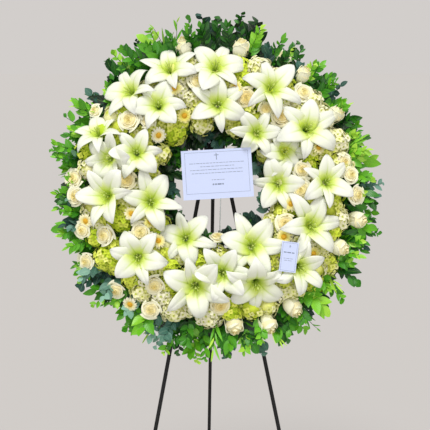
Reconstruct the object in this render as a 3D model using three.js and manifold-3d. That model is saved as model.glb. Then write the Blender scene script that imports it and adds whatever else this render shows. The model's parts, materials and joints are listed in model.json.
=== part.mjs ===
// A standing funeral wreath: a ring of white lilies, cream roses and greenery on a wet-foam ring,
// which stands on a folding three-legged steel easel. Millimetres, +Z up, front towards -Y.
//
// Everything on the leaning front of the easel is modelled in the panel frame: x to the right,
// z up along the easel, y to the back, with the origin at the centre of the wreath.
// A place on the ring is a clock angle (degrees clockwise from the top) and a radius.
import * as THREE from "three";
import { mergeVertices } from "three/addons/utils/BufferGeometryUtils.js";
import Module from "manifold-3d";

const wasm = await Module();
wasm.setup();
const { Manifold, Mesh } = wasm;

const rad = THREE.MathUtils.degToRad;
const GAP = 0.4; // air left between pieces that touch

// ---------------------------------------------------------------- driving dimensions
const LEAN = rad(12); // the front of the easel leans back
const REAR_SPLAY = rad(20); // the rear leg, from plumb
const LEG_SPREAD = rad(11); // each front leg, from the middle of the panel
const LEG_RADIUS = 6;
const LEG_PLANE = LEG_RADIUS + 0.5; // panel y of the front legs' axes, just behind the tray
const HUB_HEIGHT = 1400; // where the lines of the front legs meet, above the floor
const HUB_Z = 240; // the same point in the panel, above the wreath's centre
const LEG_TOP_Z = 200;
const CAP_RADIUS = 9.5;
const CAP_LENGTH = 34;
const CAP_FLOOR = 9; // rubber under the end of a leg

const PLATE_FRONT = LEG_PLANE + LEG_RADIUS + GAP;
const PLATE_THICK = 4;
const PLATE_BACK = PLATE_FRONT + PLATE_THICK;
const PIVOT = new THREE.Vector3(0, PLATE_BACK + 14, 215); // hinge of the rear leg, in the panel
const LEG_ABOVE_PIVOT = 16.3; // its top meets the plate, which stops the leg when it is open
const BOLT_RADIUS = 3;
const BOLT_CLEARANCE = 0.1;
const LEG_BOLT_Z = 150;

const FOAM_RADIUS = 245; // centre line of the foam ring
const FOAM_HALF = 45;
const FOAM_DEPTH = 58;
const TRAY_WALL = 2.6;
const TRAY_DEPTH = 22;
const TRAY_INNER = FOAM_RADIUS - FOAM_HALF - GAP - TRAY_WALL;
const TRAY_OUTER = FOAM_RADIUS + FOAM_HALF + GAP + TRAY_WALL;

const CROWN_RADIUS = 285; // where the cushion of flowers stands furthest forward
const CROWN_DEPTH = 118;
const RIM_DEPTH = 40;
const CUSHION_HALF = 150;
const FOLIAGE_REACH = 515; // tips of the outer leaves
const FOLIAGE_THICK = 9;

const CARD = { width: 210, height: 148, thick: 0.8, x: 2, y: -124, z: 40, roll: 3, lean: 3 };
const TAG = { width: 50, height: 90, thick: 0.8, x: 210, y: -152, z: -209, roll: -8, lean: 4 };

// Lilies: [clock angle, radius, petal reach, faces right, faces up, roll, lift], angles in degrees.
// The ones that stand furthest forward come first, because later ones give way to them.
const LILIES = [
  [1, 249, 84, 0, 4, 0, 4],
  [150, 202, 94, 0, 6, 40, 8],
  [-167, 304, 96, -4, -10, 50, 6],
  [57, 328, 92, 12, 12, 8, 4],
  [-131, 317, 86, -8, -4, -20, 4],
  [-101, 203, 90, -2, 8, 40, 6],
  [-94, 333, 88, -24, 2, 30, 0],
  [29, 345, 88, 8, 16, 55, 4],
  [112, 305, 94, 16, 4, 25, 2],
  [177, 254, 82, 0, 0, 25, 2],
  [-35, 303, 82, -6, 16, 25, 0],
  [159, 319, 90, 4, -34, 0, 2],
  [134, 347, 82, 22, -10, 65, 0],
  [-66, 260, 74, 0, 6, 27, 2],
  [87, 331, 82, 10, 10, -5, 0],
  [-21, 380, 80, -10, 30, -15, 0],
  [0, 358, 82, 2, 26, -40, 0],
  [-41, 386, 80, -34, 20, 30, 0],
  [37, 204, 76, 4, 2, -35, -4],
  [63, 231, 70, 4, -6, 30, -14],
  [87, 182, 82, -10, -4, -25, -6],
  [-147, 176, 80, -4, 8, 45, -4],
  [-64, 396, 78, -20, 40, -20, 0],
  [-75, 335, 76, -24, -6, -35, -16],
];

// Rose buds that stand out at the rim: [clock angle, radius of the base, forward tilt, length].
const BUDS = [
  [-12.5, 408, 30, 62],
  [10.5, 398, 30, 64],
  [38, 408, 34, 60],
  [58.5, 396, 34, 62],
  [103, 408, 30, 60],
  [116, 384, 34, 62],
  [147.5, 396, 28, 66],
  [159.5, 404, 26, 66],
  [173, 380, 30, 66],
];

const finishes = {
  steel: { color: 0x17181a, roughness: 0.45, metalness: 0.6 },
  zinc: { color: 0x9a9da0, roughness: 0.35, metalness: 1.0 },
  rubber: { color: 0x1c1c1c, roughness: 0.85, metalness: 0.0 },
  tray: { color: 0x1f4d2b, roughness: 0.5, metalness: 0.0 },
  foam: { color: 0x2f6b3a, roughness: 0.95, metalness: 0.0 },
  lily: { color: 0xf4f6ea, roughness: 0.5, metalness: 0.0 },
  rose: { color: 0xf3ead0, roughness: 0.55, metalness: 0.0 },
  cushion: { color: 0xdfe3a4, roughness: 0.7, metalness: 0.0 },
  leaf: { color: 0x2f6d22, roughness: 0.4, metalness: 0.0 },
  card: { color: 0xeef1fb, roughness: 0.6, metalness: 0.0 },
  clear: { color: 0xdfe6e8, roughness: 0.1, metalness: 0.0 },
};

// ---------------------------------------------------------------- solids and meshes
function solidOf(geometry) {
  const bare = geometry.clone();
  bare.deleteAttribute("normal");
  bare.deleteAttribute("uv");
  const merged = mergeVertices(bare, 1e-3);
  const mesh = new Mesh({
    numProp: 3,
    vertProperties: merged.attributes.position.array,
    triVerts: new Uint32Array(merged.index.array),
  });
  return new Manifold(mesh);
}

function geometryOf(solid) {
  const { numProp, numVert, vertProperties, triVerts } = solid.getMesh();
  const positions = new Float32Array(numVert * 3);
  for (let i = 0; i < numVert; i++) {
    positions.set(vertProperties.subarray(i * numProp, i * numProp + 3), i * 3);
  }
  const geometry = new THREE.BufferGeometry();
  geometry.setAttribute("position", new THREE.BufferAttribute(positions, 3));
  geometry.setIndex(new THREE.BufferAttribute(triVerts, 1));
  geometry.computeVertexNormals();
  return geometry;
}

function carve(solid, cutters) {
  const left = cutters.reduce((kept, cutter) => kept.subtract(cutter), solid);
  const bodies = left.decompose();
  return bodies.reduce((best, body) => (body.volume() > best.volume() ? body : best));
}

function named(name, finish, solidOrGeometry) {
  const isGeometry = solidOrGeometry.isBufferGeometry;
  const geometry = isGeometry ? solidOrGeometry : geometryOf(solidOrGeometry);
  const mesh = new THREE.Mesh(geometry, new THREE.MeshStandardMaterial(finishes[finish]));
  mesh.name = name;
  return mesh;
}

function vec(x, y, z) {
  return new THREE.Vector3(x, y, z);
}

// A round rod between two points.
function rod(from, to, radius, sides = 12) {
  const along = to.clone().sub(from);
  const geometry = new THREE.CylinderGeometry(radius, radius, along.length(), sides);
  const turn = new THREE.Quaternion().setFromUnitVectors(vec(0, 1, 0), along.clone().normalize());
  const middle = from.clone().add(to).multiplyScalar(0.5);
  geometry.applyMatrix4(new THREE.Matrix4().compose(middle, turn, vec(1, 1, 1)));
  return solidOf(geometry);
}

function block(width, depth, height, x, y, z) {
  return solidOf(new THREE.BoxGeometry(width, depth, height).translate(x, y, z));
}

// A flat outline drawn in the panel's x and z, with its thickness from y = front to the back.
function sheet(outline, front, thick) {
  const shape = new THREE.Shape(outline.map(([x, z]) => new THREE.Vector2(x, z)));
  const geometry = new THREE.ExtrudeGeometry(shape, { depth: thick, bevelEnabled: false });
  return solidOf(geometry.rotateX(Math.PI / 2).translate(0, front + thick, 0));
}

// A closed outline of [radius, y] turned round the wreath's own axis.
function ring(outline, segments) {
  const points = [outline[0], ...outline.toReversed()].map(([r, y]) => new THREE.Vector2(r, y));
  return solidOf(new THREE.LatheGeometry(points, segments));
}

// ---------------------------------------------------------------- places on the wreath
function onRing(clock, radius, y = 0) {
  return vec(Math.sin(rad(clock)) * radius, y, Math.cos(rad(clock)) * radius);
}

function cushionDepth(radius) {
  const across = Math.min(1, Math.abs(radius - CROWN_RADIUS) / CUSHION_HALF);
  return RIM_DEPTH + (CROWN_DEPTH - RIM_DEPTH) * Math.sqrt(1 - across * across);
}

// Where a stem enters the foam, as near to its flower as the foam reaches.
function stemEnd(clock, radius) {
  const inFoam = THREE.MathUtils.clamp(radius, FOAM_RADIUS - 26, FOAM_RADIUS + 28);
  return onRing(clock, inFoam, -FOAM_DEPTH + 22);
}

// Turns a flower's own frame (+z out of its face, +y its first petal) to where it faces.
function facing(right, up, roll) {
  const out = vec(
    Math.sin(rad(right)) * Math.cos(rad(up)),
    -Math.cos(rad(right)) * Math.cos(rad(up)),
    Math.sin(rad(up)),
  );
  const petal = vec(0, 0, 1).addScaledVector(out, -out.z).normalize();
  petal.applyAxisAngle(out, -rad(roll));
  const side = petal.clone().cross(out);
  return new THREE.Matrix4().makeBasis(side, petal, out);
}

// ---------------------------------------------------------------- lilies
// Half sections of a lily as shares of its reach: under a petal's midrib, and between two petals.
const LILY_MIDRIB = [[0.15, -0.24], [0.58, 0.02], [1.0, -0.08]];
const LILY_CLEFT = [[0.12, -0.26], [0.33, -0.06], [0.42, -0.03]];
const LILY_THROAT = -0.42;
const LILY_WALL = 5;
const LILY_SPOKES = 12;

function lilyCup(reach, grow) {
  const points = [vec(0, 0, LILY_THROAT * reach + grow)];
  const addRings = (drop, widen) => {
    for (let step = 0; step < LILY_MIDRIB.length; step++) {
      for (let k = 0; k < LILY_SPOKES; k++) {
        const [r, z] = (k % 2 ? LILY_CLEFT : LILY_MIDRIB)[step];
        const angle = (k / LILY_SPOKES) * 2 * Math.PI;
        const radius = r * reach + widen;
        points.push(vec(Math.sin(angle) * radius, Math.cos(angle) * radius, z * reach - drop));
      }
    }
  };
  addRings(-grow, grow);
  addRings(LILY_WALL + grow, grow);
  points.push(vec(0, 0, LILY_THROAT * reach - LILY_WALL - grow));

  const steps = LILY_MIDRIB.length;
  const at = (layer, step, k) => 1 + (layer * steps + step) * LILY_SPOKES + (k % LILY_SPOKES);
  const faces = [];
  for (let k = 0; k < LILY_SPOKES; k++) {
    faces.push(0, at(0, 0, k + 1), at(0, 0, k));
    for (let step = 0; step + 1 < steps; step++) {
      const [a, b] = [at(0, step, k), at(0, step, k + 1)];
      const [c, d] = [at(0, step + 1, k), at(0, step + 1, k + 1)];
      faces.push(a, b, d, a, d, c);
      const [e, f] = [at(1, step, k), at(1, step, k + 1)];
      const [g, h] = [at(1, step + 1, k), at(1, step + 1, k + 1)];
      faces.push(e, h, f, e, g, h);
    }
    const [rim, rimNext] = [at(0, steps - 1, k), at(0, steps - 1, k + 1)];
    const [under, underNext] = [at(1, steps - 1, k), at(1, steps - 1, k + 1)];
    faces.push(rim, rimNext, underNext, rim, underNext, under);
    faces.push(points.length - 1, at(1, 0, k), at(1, 0, k + 1));
  }
  const geometry = new THREE.BufferGeometry().setFromPoints(points);
  geometry.setIndex(faces);
  return geometry;
}

function lily([clock, radius, reach, right, up, roll, lift], grow = 0) {
  const middle = onRing(clock, radius, -(cushionDepth(radius) + 28 + lift));
  const turn = facing(right, up, roll).setPosition(middle);
  const cup = solidOf(lilyCup(reach, grow).applyMatrix4(turn));
  const base = vec(0, 0, LILY_THROAT * reach).applyMatrix4(turn);
  return cup.add(rod(base, stemEnd(clock, radius), 3.5 + grow, 6));
}

// ---------------------------------------------------------------- rose buds
const BUD_OUTLINE = [[0, 0], [0.2, 0.03], [0.36, 0.25], [0.4, 0.6], [0.3, 0.88], [0, 1]];

function bud([clock, radius, tilt, length], grow = 0) {
  const outline = BUD_OUTLINE.map(([r, z]) => {
    return new THREE.Vector2(r ? r * length + grow : 0, (z - 0.5) * (length + 2 * grow));
  });
  const outward = onRing(clock, Math.cos(rad(tilt)), -Math.sin(rad(tilt)));
  const base = onRing(clock, radius, -RIM_DEPTH - 18);
  const middle = base.clone().addScaledVector(outward, length / 2);
  const turn = new THREE.Quaternion().setFromUnitVectors(vec(0, 1, 0), outward);
  const head = new THREE.LatheGeometry(outline, 8);
  head.applyMatrix4(new THREE.Matrix4().compose(middle, turn, vec(1, 1, 1)));
  const neck = base.clone().addScaledVector(outward, 6);
  return solidOf(head).add(rod(neck, stemEnd(clock, radius), 3 + grow, 6));
}

// ---------------------------------------------------------------- cushion of small flowers
// One quarter of the cushion of roses, daisies and hydrangea heads: a lumpy arch over the foam.
const CUSHION_ARCH = [[158, -16], [168, -58], [205, -92], [255, -110], [310, -110], [365, -90],
  [408, -52], [422, -16]];
const CUSHION_UNDERSIDE = [[300, -16], [300, -66], [190, -66], [190, -16]];
const CUSHION_STEPS = 15;
const CUSHION_LUMP = 6;

function cushionQuarter(quarter) {
  const start = quarter * 90 + 0.2;
  const sweep = 90 - 0.4;
  const outline = [...CUSHION_ARCH, ...CUSHION_UNDERSIDE];
  const points = [];
  for (let step = 0; step <= CUSHION_STEPS; step++) {
    const clock = start + (sweep * step) / CUSHION_STEPS;
    outline.forEach(([r, y], i) => {
      const isArch = i > 0 && i < CUSHION_ARCH.length - 1;
      const lump = isArch ? CUSHION_LUMP * Math.sin(rad(clock * 12 + i * 140)) : 0;
      points.push(onRing(clock, r, y - lump));
    });
  }
  const n = outline.length;
  const faces = [];
  for (let step = 0; step < CUSHION_STEPS; step++) {
    for (let i = 0; i < n; i++) {
      const [a, b] = [step * n + i, step * n + ((i + 1) % n)];
      faces.push(a, b + n, b, a, a + n, b + n);
    }
  }
  const flat = outline.map(([r, y]) => new THREE.Vector2(r, y));
  for (const [a, b, c] of THREE.ShapeUtils.triangulateShape(flat, [])) {
    const last = CUSHION_STEPS * n;
    faces.push(a, b, c, last + a, last + c, last + b);
  }
  const geometry = new THREE.BufferGeometry().setFromPoints(points);
  geometry.setIndex(faces);
  return solidOf(geometry);
}

// ---------------------------------------------------------------- greenery
// One quarter of the collar of leaves round the rim, with pointed tips of uneven length.
function outerFoliage(quarter) {
  const tips = 12;
  const inner = TRAY_OUTER + 2;
  const outline = [];
  for (let i = 0; i <= tips; i++) {
    const clock = quarter * 90 + 0.2 + (89.6 * i) / tips;
    const reach = FOLIAGE_REACH - 14 * (1 + Math.cos(rad(clock * 10)));
    const point = onRing(clock, i === 0 || i === tips ? FOLIAGE_REACH : reach);
    outline.push([point.x, point.z]);
    if (i === tips) break;
    const cleft = onRing(clock + 89.6 / tips / 2, 440);
    outline.push([cleft.x, cleft.z]);
  }
  for (let i = 8; i >= 0; i--) {
    const point = onRing(quarter * 90 + 0.2 + (89.6 * i) / 8, inner);
    outline.push([point.x, point.z]);
  }
  return sheet(outline, -FOLIAGE_THICK - 3, FOLIAGE_THICK);
}

// The leaves that fringe the hole, as one collar.
function innerFoliage() {
  const tips = 24;
  const points = [];
  for (let i = 0; i < tips * 2; i++) {
    const point = onRing((i * 180) / tips, i % 2 ? 152 : 132);
    points.push(new THREE.Vector2(point.x, point.z));
  }
  const shape = new THREE.Shape();
  shape.absarc(0, 0, TRAY_INNER - 5, 0, 2 * Math.PI);
  shape.holes.push(new THREE.Path(points));
  const settings = { depth: FOLIAGE_THICK, bevelEnabled: false, curveSegments: 24 };
  const geometry = new THREE.ExtrudeGeometry(shape, settings);
  return solidOf(geometry.rotateX(Math.PI / 2).translate(0, -6, 0));
}

// ---------------------------------------------------------------- wreath base
function foamRing() {
  const [inner, outer] = [FOAM_RADIUS - FOAM_HALF, FOAM_RADIUS + FOAM_HALF];
  const back = -TRAY_WALL - GAP;
  const front = -FOAM_DEPTH - GAP;
  const outline = [[inner, back], [outer, back], [outer, front + 16], [outer - 18, front],
    [inner + 18, front], [inner, front + 16]];
  return ring(outline, 36);
}

function foamTray() {
  const outline = [[TRAY_INNER, 0], [TRAY_OUTER, 0], [TRAY_OUTER, -TRAY_DEPTH],
    [TRAY_OUTER - TRAY_WALL, -TRAY_DEPTH], [TRAY_OUTER - TRAY_WALL, -TRAY_WALL],
    [TRAY_INNER + TRAY_WALL, -TRAY_WALL], [TRAY_INNER + TRAY_WALL, -TRAY_DEPTH],
    [TRAY_INNER, -TRAY_DEPTH]];
  return ring(outline, 36);
}

// ---------------------------------------------------------------- easel
const HUB = vec(0, LEG_PLANE, HUB_Z);

// A point on a front leg's axis, at a panel height. side is -1 for the left leg and 1 for the right.
function onLeg(side, z) {
  return vec(side * (HUB_Z - z) * Math.tan(LEG_SPREAD), LEG_PLANE, z);
}

// Panel height at which a front leg's axis passes the ring at a given radius, under the centre.
function legMeetsRing(radius) {
  const k = Math.tan(LEG_SPREAD) ** 2;
  const root = Math.sqrt((k * HUB_Z) ** 2 - (1 + k) * (k * HUB_Z ** 2 - radius ** 2));
  return (k * HUB_Z - root) / (1 + k);
}

const PEG_RADIUS = 3;
const PEG_Z = legMeetsRing(TRAY_OUTER + GAP + PEG_RADIUS);

// A bent rod through the leg: the ring stands on it, and its turned-up end keeps the ring back.
function supportPeg(side, grow = 0) {
  const leg = onLeg(side, PEG_Z);
  const tip = leg.clone().setY(-FOAM_DEPTH - 7);
  const shank = rod(leg.clone().setY(LEG_PLANE + 10), tip, PEG_RADIUS + grow, 8);
  const inward = vec(-leg.x, 0, -leg.z).normalize();
  const heel = tip.clone().addScaledVector(inward, -PEG_RADIUS);
  const upturn = rod(heel, tip.clone().addScaledVector(inward, 20), PEG_RADIUS + grow, 8);
  return shank.add(upturn);
}

// A hexagon bolt along an axis, with its nut: shank, head and nut in one solid.
function boltAndNut(from, to, grow = 0) {
  const along = to.clone().sub(from).normalize();
  const headEnd = from.clone().addScaledVector(along, -3.5);
  const nutEnd = to.clone().addScaledVector(along, 5);
  const shank = rod(from.clone().addScaledVector(along, -1), nutEnd, BOLT_RADIUS + grow, 12);
  return shank.add(rod(headEnd, from, 5.5 + grow, 6)).add(rod(to, nutEnd, 5.5 + grow, 6));
}

function legBolt(side, grow = 0) {
  const leg = onLeg(side, LEG_BOLT_Z);
  const front = leg.clone().setY(LEG_PLANE - LEG_RADIUS - GAP);
  return boltAndNut(front, leg.clone().setY(PLATE_BACK + GAP), grow);
}

const EAR_INSIDE = 8;
const EAR_THICK = 4;

function hingeBolt(grow = 0) {
  const reach = EAR_INSIDE + EAR_THICK + GAP;
  return boltAndNut(PIVOT.clone().setX(-reach), PIVOT.clone().setX(reach), grow);
}

// A hole in which the bolt's shank turns freely.
function boltHole(from, to) {
  return rod(from, to, BOLT_RADIUS + BOLT_CLEARANCE, 24);
}

const TIE = { x: 26, wide: 4.8, thick: 1.6 };

// A cable tie round the foam ring and the head plate: a flat closed band.
function cableTie(grow = 0) {
  const inside = {
    low: Math.sqrt(TRAY_INNER ** 2 - (TIE.x + 3) ** 2) - 3,
    high: TRAY_OUTER + 2,
    front: -FOAM_DEPTH - 3,
    back: PLATE_BACK + 1.5,
  };
  const band = (by) => {
    const height = inside.high - inside.low + 2 * by;
    const depth = inside.back - inside.front + 2 * by;
    const [y, z] = [(inside.back + inside.front) / 2, (inside.high + inside.low) / 2];
    const width = TIE.wide + 2 * grow + (by < TIE.thick ? 4 : 0);
    return block(width, depth, height, TIE.x, y, z);
  };
  return band(TIE.thick + grow).subtract(band(-grow));
}

function headPlate() {
  const half = [[0, 126], [32, 126], [40, 190], [34, 262], [24, 270], [0, 270]];
  const mirrored = half.slice(1, -1).reverse().map(([x, z]) => [-x, z]);
  let plate = sheet([...half.slice(1, -1), ...mirrored], PLATE_FRONT, PLATE_THICK);
  for (const side of [-1, 1]) {
    const x = side * (EAR_INSIDE + EAR_THICK / 2);
    const depth = PIVOT.y + 10 - PLATE_BACK + 1;
    plate = plate.add(block(EAR_THICK, depth, 34, x, PLATE_BACK - 1 + depth / 2, PIVOT.z));
    const bolt = onLeg(side, LEG_BOLT_Z);
    plate = plate.subtract(boltHole(bolt, bolt.clone().setY(PLATE_BACK + 5)));
  }
  const reach = EAR_INSIDE + EAR_THICK + 5;
  plate = plate.subtract(boltHole(PIVOT.clone().setX(-reach), PIVOT.clone().setX(reach)));
  return plate.subtract(cableTie(GAP));
}

// ---------------------------------------------------------------- the panel and the two groups
const panel = new THREE.Group();
panel.name = "front_frame";
panel.rotation.x = -LEAN;
const hubFromCentre = HUB.clone().applyAxisAngle(vec(1, 0, 0), -LEAN);
panel.position.z = HUB_HEIGHT - hubFromCentre.z;
panel.updateMatrixWorld(true);

function toWorld(point) {
  return point.clone().applyMatrix4(panel.matrixWorld);
}

// Where an axis reaches the floor, and where the leg on it ends inside its rubber cap.
function legRun(top, towards) {
  const along = towards.clone().sub(top).normalize();
  const toFloor = -top.z / along.z;
  const floor = top.clone().addScaledVector(along, toFloor);
  const end = top.clone().addScaledVector(along, toFloor + CAP_FLOOR / along.z);
  return { along, floor, end };
}

function rubberFoot({ along, floor, end }) {
  const top = floor.clone().addScaledVector(along, -CAP_LENGTH);
  const below = floor.clone().addScaledVector(along, 12);
  const socketTop = top.clone().addScaledVector(along, -5);
  const socketEnd = end.clone().addScaledVector(along, GAP);
  const cup = rod(top, below, CAP_RADIUS, 16).subtract(
    rod(socketTop, socketEnd, LEG_RADIUS + GAP, 12),
  );
  return cup.subtract(block(60, 60, 40, floor.x, floor.y, -20));
}

const root = new THREE.Group();
root.name = "funeral_wreath";
root.add(panel);

const pegs = [-1, 1].map((side) => supportPeg(side, GAP));
const tie = cableTie(GAP);
[["left", -1], ["right", 1]].forEach(([word, side], i) => {
  const top = onLeg(side, LEG_TOP_Z);
  const run = legRun(toWorld(top), toWorld(onLeg(side, -500)));
  const end = run.end.clone().applyMatrix4(panel.matrixWorld.clone().invert());
  const bolt = onLeg(side, LEG_BOLT_Z);
  const hole = boltHole(bolt.clone().setY(-5), bolt.clone().setY(PLATE_FRONT + 5));
  const leg = rod(top, end, LEG_RADIUS, 12).subtract(hole).subtract(pegs[i]);
  panel.add(named(`front_leg_${word}`, "steel", leg));
  panel.add(named(`support_peg_${word}`, "zinc", supportPeg(side)));
  panel.add(named(`leg_bolt_${word}`, "zinc", legBolt(side)));
  root.add(named(`rubber_foot_${word}`, "rubber", rubberFoot(run)));
});
panel.add(named("head_plate", "steel", headPlate()));
panel.add(named("hinge_bolt", "zinc", hingeBolt()));
panel.add(named("cable_tie", "clear", cableTie()));

// The rear leg hangs from the hinge bolt, in a frame of its own whose -z runs down the leg.
const pivotWorld = toWorld(PIVOT);
const rearLeg = new THREE.Group();
rearLeg.name = "rear_leg_group";
rearLeg.position.copy(pivotWorld);
rearLeg.rotation.x = REAR_SPLAY;
const downRear = vec(0, Math.sin(REAR_SPLAY), -Math.cos(REAR_SPLAY));
const rearRun = legRun(pivotWorld, pivotWorld.clone().add(downRear));
const rearLength = rearRun.end.distanceTo(pivotWorld);
const rearTube = rod(vec(0, 0, LEG_ABOVE_PIVOT), vec(0, 0, -rearLength), LEG_RADIUS, 12);
const rearHole = boltHole(vec(-20, 0, 0), vec(20, 0, 0));
rearLeg.add(named("rear_leg", "steel", rearTube.subtract(rearHole)));
root.add(rearLeg);
root.add(named("rubber_foot_rear", "rubber", rubberFoot(rearRun)));

// ---------------------------------------------------------------- card, pick and tag
function cardGeometry({ width, height, thick, x, y, z, roll, lean }, grow = 0) {
  const g = 2 * grow;
  const geometry = new THREE.BoxGeometry(width + g, thick + g, height + g);
  return geometry.rotateY(-rad(roll)).rotateX(-rad(lean)).translate(x, y, z);
}

// A clear plastic card pick: a flat clip behind the card and a stem down into the foam.
function cardPick(grow = 0) {
  const clip = vec(12, CARD.y + 6.5, -12);
  const foot = onRing(177.5, FOAM_RADIUS - 30, -FOAM_DEPTH + 22);
  const plate = block(14 + 2 * grow, 2.4 + 2 * grow, 34 + 2 * grow, clip.x, clip.y, clip.z);
  return plate.add(rod(clip, foot, 1.8 + grow, 8));
}

const card = solidOf(cardGeometry(CARD));
const tag = solidOf(cardGeometry(TAG));
const paper = [solidOf(cardGeometry(CARD, GAP)), solidOf(cardGeometry(TAG, GAP))];
panel.add(named("message_card", "card", card));
panel.add(named("card_pick", "clear", cardPick()));
panel.add(named("florist_tag", "card", tag));

// ---------------------------------------------------------------- flowers, cushion, foam, leaves
const fixed = [...pegs, tie, ...paper, cardPick(GAP)];
const lilyCutters = [];
LILIES.forEach((station, i) => {
  const shape = carve(lily(station), [...fixed, ...lilyCutters]);
  panel.add(named(`lily_${String(i + 1).padStart(2, "0")}`, "lily", shape));
  lilyCutters.push(lily(station, GAP));
});

const budCutters = [];
BUDS.forEach((station, i) => {
  const shape = carve(bud(station), [...fixed, ...lilyCutters]);
  panel.add(named(`rose_bud_${i + 1}`, "rose", shape));
  budCutters.push(bud(station, GAP));
});

const stems = [...lilyCutters, ...budCutters];
panel.add(named("foam_ring", "foam", carve(foamRing(), [...stems, cardPick(GAP)])));
panel.add(named("foam_tray", "tray", foamTray()));
for (let quarter = 0; quarter < 4; quarter++) {
  const cushion = carve(cushionQuarter(quarter), [...fixed, ...stems]);
  panel.add(named(`flower_cushion_${quarter + 1}`, "cushion", cushion));
  const leaves = carve(outerFoliage(quarter), [...fixed, ...stems]);
  panel.add(named(`outer_foliage_${quarter + 1}`, "leaf", leaves));
}
panel.add(named("inner_foliage", "leaf", carve(innerFoliage(), [...fixed, ...stems])));

// ---------------------------------------------------------------- origin at the middle of the base
root.updateMatrixWorld(true);
const box = new THREE.Box3().setFromObject(root, true);
root.position.set(-(box.min.x + box.max.x) / 2, -(box.min.y + box.max.y) / 2, 0);

export default root;
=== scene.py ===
# %% [markdown]
# # A standing funeral wreath on a folding easel
# The real object is a ring of wet floral foam in a plastic tray, hung on the front of a folding
# three-legged steel easel. A florist pushes cut stems into the foam: greenery round the rim first,
# then lime and cream hydrangea heads as a ground, then roses and small daisies, and white lilies
# last, so that the lilies stand furthest forward. A message card stands over the hole.
#
# The lesson goes the other way, from the lilies back to the leaves, because each layer has to keep
# clear of the one in front of it. The tray, foam, hardware, feet, card and tag come from the packed
# model and only get better surfaces. Everything that grew is made here, petal by petal.

import json
import math

import bpy
import numpy as np
from mathutils import Matrix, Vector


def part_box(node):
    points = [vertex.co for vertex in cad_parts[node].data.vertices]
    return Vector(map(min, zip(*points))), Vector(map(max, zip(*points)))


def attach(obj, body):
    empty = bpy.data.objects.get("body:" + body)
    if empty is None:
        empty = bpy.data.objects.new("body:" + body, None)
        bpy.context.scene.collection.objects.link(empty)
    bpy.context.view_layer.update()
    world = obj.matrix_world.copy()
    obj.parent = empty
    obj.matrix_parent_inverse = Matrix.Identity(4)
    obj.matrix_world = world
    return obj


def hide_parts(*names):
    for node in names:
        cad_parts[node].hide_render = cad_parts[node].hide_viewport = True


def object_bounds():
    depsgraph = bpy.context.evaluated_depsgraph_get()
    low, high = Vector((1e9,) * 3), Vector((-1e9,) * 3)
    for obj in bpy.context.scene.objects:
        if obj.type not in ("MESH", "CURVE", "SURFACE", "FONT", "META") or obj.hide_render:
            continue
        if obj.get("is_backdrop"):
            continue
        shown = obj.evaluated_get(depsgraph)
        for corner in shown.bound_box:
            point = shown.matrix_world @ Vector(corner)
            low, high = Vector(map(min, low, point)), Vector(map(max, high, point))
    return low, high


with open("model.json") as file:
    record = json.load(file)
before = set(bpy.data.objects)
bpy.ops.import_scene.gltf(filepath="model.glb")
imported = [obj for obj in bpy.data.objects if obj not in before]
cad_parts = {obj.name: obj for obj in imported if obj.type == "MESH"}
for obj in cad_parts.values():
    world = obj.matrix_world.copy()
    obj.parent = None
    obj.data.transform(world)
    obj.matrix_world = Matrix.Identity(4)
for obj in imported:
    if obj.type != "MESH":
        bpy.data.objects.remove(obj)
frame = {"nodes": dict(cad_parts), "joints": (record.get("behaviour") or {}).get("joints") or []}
cad_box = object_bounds()
cad = frame["nodes"]
rng = np.random.default_rng(1207)  # one seeded source, so that every run grows the same wreath
print("packed nodes:", len(cad))

# %% [markdown]
# ## Places on the wreath
# The front of the easel leans back by 12 degrees. Flowers could be placed in the room's frame and
# then tilted one by one, but it is easier to place them in a frame that leans with the easel: x to
# the right, y to the back and z up along it, in millimetres from the middle of the ring. A florist
# reads a wreath as a clock, so a place is an angle clockwise from the top and a distance from the
# middle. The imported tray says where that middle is.

# %% From the leaning wreath to the room
LEAN = math.radians(12)
TRAY_DEPTH = 22.0  # mm
turn = np.array(Matrix.Rotation(-LEAN, 3, "X"))
low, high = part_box("foam_tray")
tray_middle = turn @ np.array([0, -TRAY_DEPTH / 2 / 1000, 0])
wreath_middle = np.array((low + high) / 2) - tray_middle


def to_room(points):
    """Millimetres on the leaning wreath, as metres in the room."""
    return np.asarray(points) / 1000 @ turn.T + wreath_middle


def on_ring(clock, radius, y=0.0):
    """A place on the wreath from its clock angle in degrees and its distance from the middle."""
    angle = np.radians(clock)
    return np.stack(np.broadcast_arrays(np.sin(angle) * radius, y, np.cos(angle) * radius), -1)


print("middle of the wreath in the room:", wreath_middle.round(4))

# %% [markdown]
# ## The swell of the flowers
# Seen from the side, the flowers are a fat half ring: highest over the foam, and falling away to
# the rim and to the hole. Placing each flower by eye would let some sink in and others float. The
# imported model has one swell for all, so two functions give it here: how far forward a flower
# stands, and which way it looks.

# %% The swell of the flowers
# In mm: where the crown of the swell lies, its depth there and at the rim, and half its width.
CROWN_RADIUS, CROWN_DEPTH, RIM_DEPTH, HALF_WIDTH = 285, 118, 40, 150
MOST_TILT = np.radians(62)  # of a flower at the rim or at the hole


def swell(radius):
    """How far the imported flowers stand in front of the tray's back."""
    across = np.minimum(1, np.abs(radius - CROWN_RADIUS) / HALF_WIDTH)
    return RIM_DEPTH + (CROWN_DEPTH - RIM_DEPTH) * np.sqrt(1 - across**2)


def facing_out(clock, radius):
    """The way a flower looks: forward on the crown, outward at the rim, inward at the hole."""
    tilt = MOST_TILT * np.clip((radius - CROWN_RADIUS) / HALF_WIDTH, -1, 1)
    return on_ring(clock, np.sin(tilt), -np.cos(tilt))


print("swell at the crown and the rim:", swell(285), swell(420))

# %% [markdown]
# ## Room for the card and the tag
# The card and the tag stand in front of the flowers, and on a real wreath they bend the petals
# behind them back. Moving whole flowers away would leave gaps, and cutting their petals would show.
# So every point that would stand in front of a card is pressed back to the card's plane, and the
# press fades out over 14 mm beyond its edge.

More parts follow.
